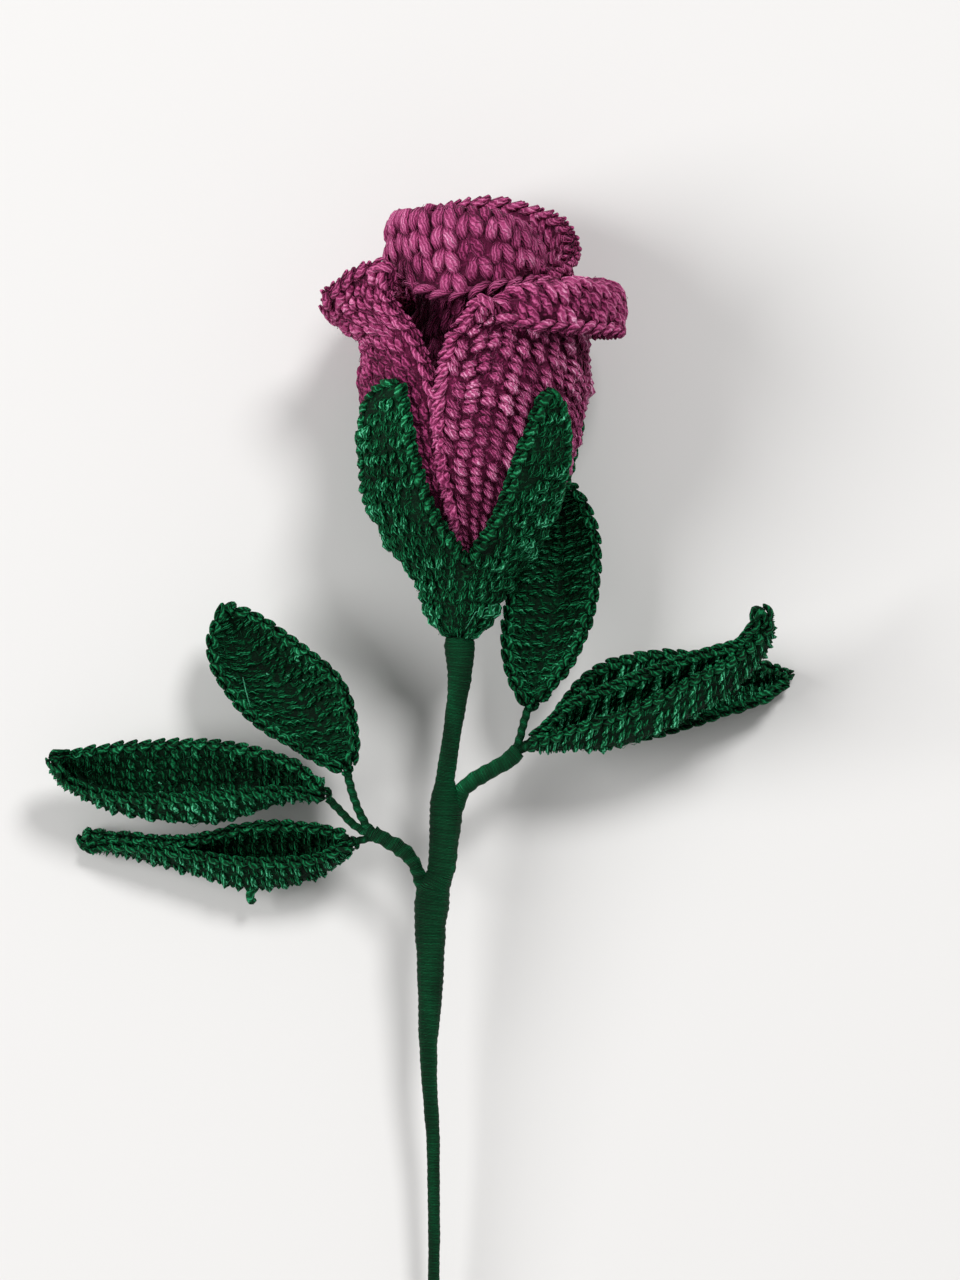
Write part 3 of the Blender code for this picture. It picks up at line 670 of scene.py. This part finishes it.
for name, petal in PETALS.items():
    cloth = Surface(petal_lines(petal, 96, 48))
    work, braid = Yarnwork(), Yarnwork()
    bud = name == "petal_centre"
    if bud:
        cells = rows_of(cloth, *BUD_ROW_SIZE, BUD_LEAN)
        # The bud's body below its rolled rim gets painted shade.
        work_on(work, cloth, cells, bud_post, POST_SIZE, 1, 0.2, (0.62, 0.4))
    else:
        cells = rows_of(cloth, *ROW_SIZE, LEAN.get(name, 0))
        work_on(work, cloth, cells, puff, POST_SIZE, 1, 0.2)
    inside = [cell for cell in cells if cell[2] > (0.45 if bud else 0.3)]
    # The inner faces get painted shade low in the bud.
    work_on(work, cloth, inside, post_stitch, POST_SIZE, -1, inner_shade=(0.68, 0.45))
    fuzz_on(work, cloth, 2.2)
    braid_on(braid, *edge_path(cloth), link, 3.6)
    dress(name, cloth, work, braid, bud_yarn if bud else petal_yarn)


# Calyx. One cup of green yarn, crocheted round and round from the stem up, ends in four
# pointed sepals with a chained edge. It is slipped over the stem and sewn to the petals.
# The green yarn from painted shade deep in the creases to painted light on the lit crests.
GREEN_SHADED_TO_LIT = [(0.0, (0.0002, 0.003, 0.001)), (0.25, (0.0008, 0.024, 0.008)),
         (0.5, (0.0015, 0.085, 0.027)), (0.75, (0.012, 0.23, 0.085)), (1.0, (0.12, 0.62, 0.34))]
leaf_yarn = yarn("leaf_yarn", GREEN_SHADED_TO_LIT, plies=1, fine=3, fibre=0.45, painted_glint=0.35)
SEAM_ANGLE = -45
SEPAL_ANGLES = (SEAM_ANGLE, 47, 135, 225)
SEPAL_SIDE = [(9, 394), (14, 412), (17.5, 440), (21, 475), (25, 505)]
SEPALS = [
    {"tip": (7, 387), "after": [(9.5, 403), (13, 440), (17, 480), (20.5, 512)],
     "before": [(3, 393), (11, 404), (15, 422), (18, 445), (22, 470), (32, 500)]},
    {"tip": (-9.5, 397), "after": [(-4, 406), (2, 426), (8, 450), (15, 480), (23, 505)],
     "before": [(12, 409), (15, 437), (18.5, 467), (19.5, 500), (23, 530)]},
    {"tip": (0, 388), "after": SEPAL_SIDE, "before": SEPAL_SIDE},
    {"tip": (0, 388), "after": SEPAL_SIDE, "before": SEPAL_SIDE},
]
NOTCH_ROWS = (567, 520, 546, 520)
CUP_FOOT = 631
CUP_TOP = 386
ROUND_HEIGHT = 2.65
ROUND_STITCH = 3.1
SMALL_SIZE = (2.9, 2.6)


def calyx_rim():
    """The free edge once round from the first sepal's tip, as (angle, row)."""
    rim = []
    for k, centre in enumerate(SEPAL_ANGLES):
        following = SEPAL_ANGLES[(k + 1) % 4] + (360 if k == 3 else 0)
        half = (following - centre) / 2
        notch = NOTCH_ROWS[k]
        after, before = SEPALS[k]["after"], SEPALS[(k + 1) % 4]["before"]
        down = after + [((after[-1][0] + half) / 2, (after[-1][1] + notch) / 2 + 6)]
        up = before + [((before[-1][0] + half) / 2, (before[-1][1] + notch) / 2 + 6)]
        rim.append((centre + SEPALS[k]["tip"][0], SEPALS[k]["tip"][1]))
        rim += [(centre + a, row) for a, row in down] + [(centre + half, notch)]
        rim += [(following - a, row) for a, row in up[::-1]]
    return rim


rim = calyx_rim()
calyx_lines = []
for k, (angle, top) in enumerate(rim + rim[:1]):
    base_angle = rim[0][0] + 360 * k / len(rim)
    final = angle if k < len(rim) else angle + 360
    rows = CUP_FOOT + (top - CUP_FOOT) * np.linspace(0, 1, 33)
    blend = np.clip((CUP_FOOT - rows) / 90, 0, 1)
    angles = base_angle + (final - base_angle) * blend
    line = np.array([around_head(a, cup_radius(r), r) for a, r in zip(angles, rows)])
    calyx_lines.append(evenly(line, 41))
calyx = Surface(np.array(calyx_lines), closed=True)
work, braid = Yarnwork(), Yarnwork()
turns = np.linspace(SEAM_ANGLE, SEAM_ANGLE + 360, 145)
levels = np.linspace(CUP_FOOT, CUP_TOP, 99)
cup_lines = [[around_head(a, cup_radius(r), r) for r in levels] for a in turns]
cup = Surface(np.array(cup_lines), closed=True)
rim_angles, rim_rows = zip(*(rim + [(rim[0][0] + 360, rim[0][1])]))
rise = np.concatenate([[0], np.cumsum(np.linalg.norm(np.diff(cup.lines[0], axis=0), axis=1))])
rounds = int(rise[-1] / ROUND_HEIGHT)
cells = []
for level in range(rounds):
    along = np.interp((level + 0.5) * rise[-1] / rounds, rise, np.linspace(0, 1, len(levels)))
    row = CUP_FOOT + (CUP_TOP - CUP_FOOT) * along
    number = max(int(round(2 * pi * cup_radius(row) / ROUND_STITCH)), 6)
    for k in range(number):
        share = (k + 0.5 * (level % 2)) / number
        angle = SEAM_ANGLE + 360 * share
        if row > np.interp(angle, rim_angles, rim_rows) + 7:
            cells.append((share, 1 / number, along - 0.5 / rounds, 1 / rounds))
small = together(
    *plied([(0.1, -0.8, 0.1), (0.6, 0.2, 0.95), (1.0, 1.2, 1.15), (1.1, 2.0, 0.9), (0.8, 3.0, 0.1)],
           [0.35, 0.6, 0.66, 0.6, 0.35]),
    *plied([(-0.1, -0.8, 0.1), (-0.5, 0.1, 0.8), (-0.85, 1.1, 1.05), (-0.85, 1.9, 0.85),
            (-0.4, 2.9, 0.1)], [0.35, 0.55, 0.6, 0.55, 0.35]),
    strand([(-1.4, 0.3, 0.1), (-0.4, -0.3, 0.75), (0.5, -0.2, 0.75), (1.5, 0.4, 0.1)],
           [0.25, 0.32, 0.32, 0.25], 4, 1),
)
work_on(work, cup, cells, small, SMALL_SIZE, 1, 0.22)
calyx_link = together(
    strand([(-0.9, -1.4, 0.35), (0.0, -0.5, 0.9), (0.4, 0.8, 0.8), (0.4, 2.0, 0.3)],
           [0.4, 0.8, 0.85, 0.45]),
    strand([(-0.9, -1.4, -0.35), (0.0, -0.5, -0.9), (0.4, 0.8, -0.8), (0.4, 2.0, -0.3)],
           [0.4, 0.8, 0.85, 0.45]),
)
braid_on(braid, *edge_path(calyx, sides=False), calyx_link, 3.0, 1.0, 1.0)
fuzz_on(work, calyx, 3.4, 1.0, 2.0)
# One loose end lies over the foot of the cup, with a painted highlight along it.
LOOSE_END = ((55, 604), (22, 612), (12, 629))
hair(work, [around_head(angle, cup_radius(row) + 2.0, row) for angle, row in LOOSE_END], 0.11, 2.2)
dress("calyx", calyx, work, braid, leaf_yarn, closed=True)


# Leaves. Six leaves of green yarn, crocheted in short posts square to the midrib, each
# with a braid round its edge. The wire in the midrib holds it cupped and joins it to its
# stalk.
LEAF_INSET = 1.2


def leaf_lines(stations, across, along):
    """The leaf's lines, from edge to edge, drawn in so that the braid ends at its outline."""
    net = np.array([[on_sheet(*point) for point in station] for station in stations])
    middle = (net.min(axis=1, keepdims=True) + net.max(axis=1, keepdims=True)) / 2
    reach = np.linalg.norm((net - middle)[:, :, :2], axis=2).max(axis=1)
    narrower = 1 - np.minimum(LEAF_INSET / reach, 0.4)
    net[:, :, :2] = middle[:, :, :2] + (net - middle)[:, :, :2] * narrower[:, None, None]
    inwards = middle[-2] - middle[-1]
    net[-1] += inwards / np.linalg.norm(inwards) * LEAF_INSET
    places = np.linspace(0, len(stations) - 1, along + 1)
    long_way = smooth_through(net, places)
    wide = np.linspace(0, net.shape[1] - 1, 33)
    rows = [evenly(smooth_through(row, wide), across + 1) for row in long_way]
    return np.array(rows).transpose(1, 0, 2)


LEAVES = {
    "leaf_left_upper": [
        [(353, 762, 17), (350, 766, 16.2), (346, 769, 15.8), (340, 769, 16.2), (334, 768, 17)],
        [(358, 735, 18), (345, 735, 14), (325, 738, 12), (305, 743, 13.5), (292, 746, 16.5)],
        [(343, 682, 18.5), (325, 685, 13.5), (298, 700, 11), (268, 712, 12), (247, 716, 15.5)],
        [(300, 645, 18), (285, 655, 13.5), (262, 668, 11), (235, 680, 12), (216, 676, 15)],
        [(262, 618, 16.5), (250, 625, 13.5), (235, 635, 12), (218, 642, 13), (209, 645, 14.5)],
        [(240, 606, 15), (232, 603, 14.2), (226, 603, 14), (219, 606, 14.2), (214, 612, 14.6)],
    ],
    "leaf_left_middle": [
        [(320, 786, 16.8), (324, 789, 16), (325, 794, 15.6), (323, 799, 16), (317, 799, 16.8)],
        [(285, 757, 16), (283, 770, 12.5), (281, 792, 10.5), (281, 806, 13), (283, 797, 16.5)],
        [(210, 742, 14), (208, 765, 10.5), (207, 803, 8), (207, 826, 12), (209, 803, 16.5)],
        [(122, 745, 13), (118, 768, 10), (116, 798, 8), (118, 816, 11.5), (118, 804, 15)],
        [(68, 752, 13), (64, 764, 11), (62, 778, 10.5), (66, 790, 12), (70, 790, 14)],
        [(58, 748, 16), (51, 752, 15), (47, 758, 14.6), (48, 765, 15), (53, 770, 16)],
    ],
    "leaf_left_lower": [
        [(346, 834, 15.6), (350, 840, 14.8), (352, 847, 14.2), (350, 854, 14.6), (344, 852, 15.6)],
        [(312, 824, 13), (312, 836, 9), (312, 862, 6), (312, 882, 9.5), (310, 866, 13.5)],
        [(252, 823, 11), (250, 838, 6.5), (250, 872, 3.2), (249, 893, 7), (250, 868, 12)],
        [(188, 836, 9), (186, 842, 5), (185, 862, 3), (186, 876, 6), (186, 858, 10)],
        [(128, 834, 7), (125, 839, 4), (122, 848, 2.4), (124, 859, 4), (126, 850, 7)],
        [(86, 832, 3.1), (78, 836, 1.7), (75, 842, 1.0), (79, 849, 1.5), (88, 851, 2.9)],
    ],
    "leaf_right_upper": [
        [(543, 699, 16.5), (537, 702, 15.6), (530, 704, 15.2), (525, 702, 15.6), (520, 698, 16.2)],
        [(577, 655, 15.5), (565, 660, 12.6), (547, 660, 10.5), (522, 665, 12), (505, 660, 15)],
        [(596, 600, 14.5), (582, 602, 11.5), (562, 605, 9), (530, 608, 10), (507, 608, 13)],
        [(599, 545, 13.5), (584, 548, 10.5), (562, 552, 7.6), (538, 556, 6.2), (521, 563, 7)],
        [(588, 505, 12.5), (578, 510, 10.5), (564, 514, 8.2), (550, 520, 6.6), (540, 528, 5.8)],
        [(577, 486, 11.6), (573, 484, 11.2), (568, 484, 10.6), (564, 487, 10.2), (561, 492, 9.8)],
    ],
    "leaf_right_front": [
        [(533, 737, 18.5), (537, 741, 17.6), (538, 746, 17.2), (538, 751, 18), (534, 748, 19)],
        [(572, 701, 20.5), (568, 716, 16.5), (566, 738, 14.8), (567, 753, 18.5), (568, 736, 22.5)],
        [(626, 678, 23), (622, 698, 17.5), (620, 734, 14.8), (622, 748, 20), (624, 718, 25)],
        [(692, 653, 27), (690, 672, 21), (688, 704, 18), (692, 718, 23), (692, 684, 29)],
        [(733, 641, 31), (735, 655, 26), (738, 672, 24), (744, 682, 27), (742, 655, 32)],
        [(748, 625, 36), (756, 632, 33.5), (765, 642, 31.5), (772, 643, 33), (768, 630, 36)],
        [(752, 610, 37.5), (756, 608, 36.5), (761, 608, 36), (766, 609, 36.5), (769, 613, 37.5)],
    ],
    "leaf_right_rear": [
        [(551, 722, 13.0), (546, 727, 12.2), (543, 732, 11.8), (541, 738, 12.2), (543, 744, 12.9)],
        [(592, 671, 12), (592, 690, 8.5), (593, 712, 7), (595, 732, 8.5), (598, 744, 11.5)],
        [(652, 652, 11), (652, 675, 7), (654, 698, 5.5), (656, 720, 7), (658, 736, 10)],
        [(708, 655, 10), (711, 672, 6.2), (714, 690, 4.2), (716, 708, 6), (716, 719, 9.5)],
        [(760, 661, 8.2), (762, 670, 4.6), (763, 682, 2.6), (762, 694, 4.2), (758, 705, 7.7)],
        [(789, 669, 2.9), (791, 671, 1.5), (792, 674, 0.7), (790, 679, 0.8), (786, 685, 1.9)],
    ],
}
leaf_link = together(
    strand([(-0.9, -1.2, 0.35), (0.0, -0.4, 0.85), (0.4, 0.7, 0.8), (0.4, 1.8, 0.3)],
           [0.35, 0.7, 0.75, 0.4]),
    strand([(-0.9, -1.2, -0.35), (0.0, -0.4, -0.85), (0.4, 0.7, -0.8), (0.4, 1.8, -0.3)],
           [0.35, 0.7, 0.75, 0.4]),
)
leaf_post = together(
    *plied([(-0.5, -0.6, 0.1), (0.4, -0.35, 0.7), (1.4, 0.1, 0.9), (2.3, 0.45, 0.7),
            (3.2, 0.7, 0.1)], [0.4, 0.7, 0.78, 0.7, 0.4]),
    *plied([(-0.4, 0.8, 0.1), (0.9, 1.1, 0.6), (2.0, 1.3, 0.55), (3.0, 1.9, 0.1)],
           [0.4, 0.6, 0.6, 0.4], 2),
)
POST_WIDTH = 2.9
POST_PITCH = 2.7
POST_RISE = 1.4
EDGE_STEPS = 120
TIP_STEPS = 10
# Painted shade in the hollow of a leaf's upper face: how much light is left towards its midrib; the
# other leaves lie open to the light and get none.
HOLLOW_SHADE = {"leaf_left_upper": 0.7, "leaf_left_middle": 0.5, "leaf_left_lower": 0.6,
          "leaf_right_upper": 0.75}
# Light flecks where the end of a fibre stands up, coloured brighter than any lit crest as a painted
# highlight.
HIGHLIGHT_FLECKS = {
    "leaf_left_upper": [(290, 672), (268, 672), (306, 676), (317, 753)],
    "leaf_left_middle": [(148, 767), (159, 780), (160, 790), (222, 786)],
    "leaf_left_lower": [(250, 860)],
    "leaf_right_upper": [(553, 582), (581, 632), (575, 648)],
}


def face_at(cloth, column, row, height):
    """The point of the upper face seen at this place of the layout sheet."""
    spot = on_sheet(column, row, 0)
    apart = np.linalg.norm(cloth.lines[:, :, :2] - spot[:2], axis=2)
    i, j = np.unravel_index(apart.argmin(), apart.shape)
    up = cloth.normals[i, j] * np.sign(cloth.normals[i, j, 2])
    return np.array([spot[0], spot[1], cloth.lines[i, j, 2]]) + up * height


for name, stations in LEAVES.items():
    cloth = Surface(leaf_lines(stations, 24, 80))
    work, braid = Yarnwork(), Yarnwork()
    count = int(round(cloth.row_length(0.5) / POST_PITCH))
    for half in (-1, 1):
        cells = []
        for k in range(count):
            along = (k + 0.5) / count
            number = max(int(round(cloth.width_at(along) / 2 / POST_WIDTH)), 1)
            step = half * 0.5 / number
            cells += [(0.5 + step * (n + 0.15), step, along, 1 / count) for n in range(number)]
        cells = np.array(cells)
        for side in (-1, 1):
            points, quads, uv = leaf_post
            b = points[None, :, 0] / POST_WIDTH + chance.normal(0, 0.05, (len(cells), 1))
            a = points[None, :, 1] / POST_PITCH + chance.normal(0, 0.05, (len(cells), 1))
            h = points[None, :, 2] * (1 + chance.normal(0, 0.12, (len(cells), 1)))
            across, along = cells[:, 0:1] + b * cells[:, 1:2], cells[:, 2:3] + a * cells[:, 3:4]
            # Painted shade: a post is painted darker the nearer it lies to the cloth, and on the
            # upper face darker towards the midrib.
            light = 1.0
            if side * np.sign(cloth.normals[12, 40, 2]) > 0:
                hollow_shade = np.clip((0.5 - abs(cells[:, 0:1] - 0.5)) * 5, 0, 1)
                light = 1 - (1 - HOLLOW_SHADE.get(name, 1)) * hollow_shade
            painted_light = np.clip(h / POST_RISE, 0, 1) * light
            work.add(cloth.at(across, along, side * h), quads, uv, painted_light, flip=side * half < 0)
    fuzz_on(work, cloth, 3.0, 0.7, 1.6)
    for column, row in HIGHLIGHT_FLECKS.get(name, ()):
        ends = [(column - 1.5, row), (column, row + 1.5), (column + 1.5, row + 1)]
        # Each fleck is painted with a highlight.
        hair(work, [face_at(cloth, *end, 1.3) for end in ends], 0.16, 3.0)
    if name == "leaf_left_upper":
        ends = ((238, 680), (240, 696), (245, 712))
        # A stray fibre with a painted highlight along it.
        hair(work, [face_at(cloth, *end, 1.8) for end in ends], 0.12, 2.2)
    if name == "leaf_left_lower":
        knot = ((252, 888, 7.5), (249, 896, 6.8), (250, 903, 6.0), (254, 901, 5.4))
        single(work, [on_sheet(*end) for end in knot], [0.8, 0.9, 0.7, 0.4], 0.7, 8, 3)
    run = np.linspace(0, 1, EDGE_STEPS)
    tip = np.linspace(0, 1, TIP_STEPS + 2)[1:-1]
    across = np.concatenate([np.zeros(EDGE_STEPS), tip, np.ones(EDGE_STEPS), 1 - tip])
    along = np.concatenate([run, np.ones(TIP_STEPS), 1 - run, np.zeros(TIP_STEPS)])
    edge = cloth.at(across, along, np.zeros(len(across)))
    facing = cloth.read(cloth.normals, across, along)
    braid_on(braid, edge, facing, leaf_link, 2.8, 0.85, 1.1)
    dress(name, cloth, work, braid, leaf_yarn, thickness=1.3)


# Stem. Fine green thread is wound tightly round the stem wire, both branches and all six
# leaf stalks in one winding, thicker where it binds in the wires of the branches.
STEM = [(636.5, 459.5, 2.2), (638.5, 459.5, 3.1), (643, 459.5, 3.3), (660, 460, 2.9),
        (680, 459.5, 2.35), (700, 457, 2.0), (740, 451, 1.85), (780, 445, 1.9), (796, 445, 3.0),
        (815, 446, 3.3), (840, 444, 3.0), (875, 440, 2.7), (888, 434, 3.3), (902, 432, 3.6),
        (925, 430, 3.2), (950, 430.5, 2.9), (1000, 430, 2.45), (1040, 428, 1.9), (1080, 429, 1.6),
        (1140, 433, 1.35), (1240, 434, 1.2), (1400, 432, 1.2), (1550, 431, 1.2),
        (CUT_ROW, 431, 1.2)]
BRANCHES = {
    "right": [(447, 872, 16.5), (450.7, 840, 17.1), (453, 815, 17.5), (462, 790, 18.0),
              (474, 780, 18.0), (490, 771, 17.9), (508, 761, 17.7), (518, 751, 17.5)],
    "left": [(423.8, 955, 15.0), (423.3, 925, 15.5), (425, 906, 15.9), (422, 886, 16.3),
             (416, 867, 16.8), (409, 856, 16.9), (398, 847, 17.0), (385, 840, 17.0),
             (373, 833, 16.9)],
}
BRANCH_RADII = {"right": 1.7, "left": 1.5}
BRANCH_RIDGES = {"right": 0.04, "left": 0.09}
STALK_RADIUS = 0.85
WOUND_STEP = 0.32
WOUND_SIDES = 16
PETIOLES = {
    "leaf_right_upper": [(520, 738, 17.2), (524, 722, 16.6), (529, 706, 15.6)],
    "leaf_right_front": [(524, 748, 17.6), (533.5, 746, 18.0)],
    "leaf_right_rear": [(527, 744, 16.0), (539.5, 736, 13.1)],
    "leaf_left_upper": [(366, 826, 16.9), (358, 810, 16.9), (352, 793, 16.6), (346.5, 771.5, 15.9)],
    "leaf_left_middle": [(362, 831, 17.0), (351, 823, 16.4), (339, 810, 16.2), (328, 799, 15.8)],
    "leaf_left_lower": [(366, 839, 15.8), (354.5, 842.5, 14.5)],
}
thread = yarn("stem_thread", GREEN_SHADED_TO_LIT, roughness=0.6, plies=1, twist=1.7, fine=2, bump=0.4, gloss=0.1)
wound = Yarnwork()


def wind(points, radii, lump=0.06, ridge=0.02, pitch=1.5):
    """A wound stretch: a round bundle with slight lumps and the slanting ridges of its turns. Its
    colour has painted shade in the grooves between turns and painted sheen in bands along it.
    """
    points, radii = np.array(points, float), np.array(radii, float)
    length = np.concatenate([[0], np.cumsum(np.linalg.norm(np.diff(points, axis=0), axis=1))])
    count = max(int(length[-1] / WOUND_STEP), 6)
    marks = np.linspace(0, length[-1], count)
    centre = np.stack([np.interp(marks, length, points[:, k]) for k in range(3)], axis=1)
    radius = np.interp(marks, length, radii)
    soft = np.convolve(np.pad(radius, 4, "edge"), np.ones(9) / 9, "valid")
    soft = soft * (1 + lump * np.convolve(chance.normal(0, 1, count + 8), np.ones(9) / 9, "valid"))
    shape, quads, uv = strand(centre, soft, WOUND_SIDES, 1, 1.0)
    spin = np.arange(WOUND_SIDES) * 2 * pi / WOUND_SIDES
    swell = ridge * (np.sin(marks[:, None] * 2 * pi / pitch + spin) - 0.5)
    middle = shape.reshape(count, WOUND_SIDES, 3).mean(axis=1)
    middle = np.repeat(middle, WOUND_SIDES, axis=0)
    shape = middle + (shape - middle) * (1 + swell.reshape(-1, 1))
    # Painted shade in the grooves between turns, and lengthwise bands of painted sheen.
    drift = np.interp(marks, np.arange(0, 250, 12), chance.normal(0, 1.5, 21))
    sheen_bands = 0.16 * np.sin(2 * spin + drift[:, None])
    wound.add(shape[None], quads, uv, 0.5 + swell.reshape(1, -1) * 3 + sheen_bands.reshape(1, -1))


wind([on_sheet(column, row, axis_height(row)) for row, column, _ in STEM],
     [radius for _, _, radius in STEM])
for side, points in BRANCHES.items():
    path = [on_sheet(*point) for point in points]
    wind(path, np.full(len(path), BRANCH_RADII[side]), 0.12, BRANCH_RIDGES[side], 2.6)
    for name, more in PETIOLES.items():
        if side in name:
            start = path[-1] + (path[-2] - path[-1]) * 0.4
            twig = [start] + [on_sheet(*point) for point in more]
            wind(twig, np.full(len(twig), STALK_RADIUS), 0.08, 0.1, 1.9)
stem = wound.build("wound_stem", thread)
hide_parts("stem_wrap")


# Wires. Plain drawn steel wire, one through the stem and a thin one to each leaf. The
# thread and the cloth hide them, except at the cut end of the stem.
metal = Shader("wire_metal", 0.35, 0.0, 1.0)
metal.bsdf.inputs["Base Color"].default_value = (0.45, 0.45, 0.46, 1.0)
for name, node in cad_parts.items():
    if "wire" in name:
        node.data.materials.clear()
        node.data.materials.append(metal.material)


# Floor, lamps and camera. A plain pale floor and two soft lamps; the camera looks down
# on the rose from where the photograph was taken.
bpy.ops.mesh.primitive_plane_add(size=6)
floor = bpy.context.object
floor.name = "floor"
ground = Shader("floor", 0.9, 0.0)
ground.bsdf.inputs["Base Color"].default_value = (0.72, 0.71, 0.70, 1.0)
floor.data.materials.append(ground.material)


def lamp(name, place, size, power, aim=(0.01, 0.06, 0.02)):
    bpy.ops.object.light_add(type="AREA", location=place)
    light = bpy.context.object
    light.name = name
    light.data.shape = "DISK"
    light.data.size = size
    light.data.energy = power
    light.rotation_euler = (Vector(aim) - Vector(place)).to_track_quat("-Z", "Y").to_euler()


lamp("key", (1.2, 2.4, 3.2), 1.2, 108)
lamp("fill", (-2.9, 0.3, 2.2), 2.4, 112)
world = bpy.data.worlds.new("studio")
bpy.context.scene.world = world
world.use_nodes = True
back = world.node_tree.nodes["Background"]
back.inputs["Color"].default_value = (1.0, 1.0, 1.0, 1.0)
# The backdrop is bright to the camera and dimmer as a light, so that creases stay deep.
rays = world.node_tree.nodes.new("ShaderNodeLightPath")
seen = Socket(world.node_tree, rays.outputs["Is Camera Ray"])
for ray in ("Is Glossy Ray", "Is Transmission Ray"):
    seen = seen.math("MAXIMUM", Socket(world.node_tree, rays.outputs[ray]))
strength = seen * 0.68 + 0.32
world.node_tree.links.new(strength.output, back.inputs["Strength"])
bpy.context.scene.view_settings.view_transform = "Standard"

CAMERA_PLACE = (0.0126, 0.0622, 2.52)
CAMERA_REACH = 2.5
FRAME_SIDE = 0.256
SENSOR = 36
bpy.ops.object.camera_add(location=CAMERA_PLACE, rotation=(0, 0, 0))
camera = bpy.context.object
camera.data.sensor_width = SENSOR
camera.data.lens = SENSOR * CAMERA_REACH / FRAME_SIDE
bpy.context.scene.camera = camera
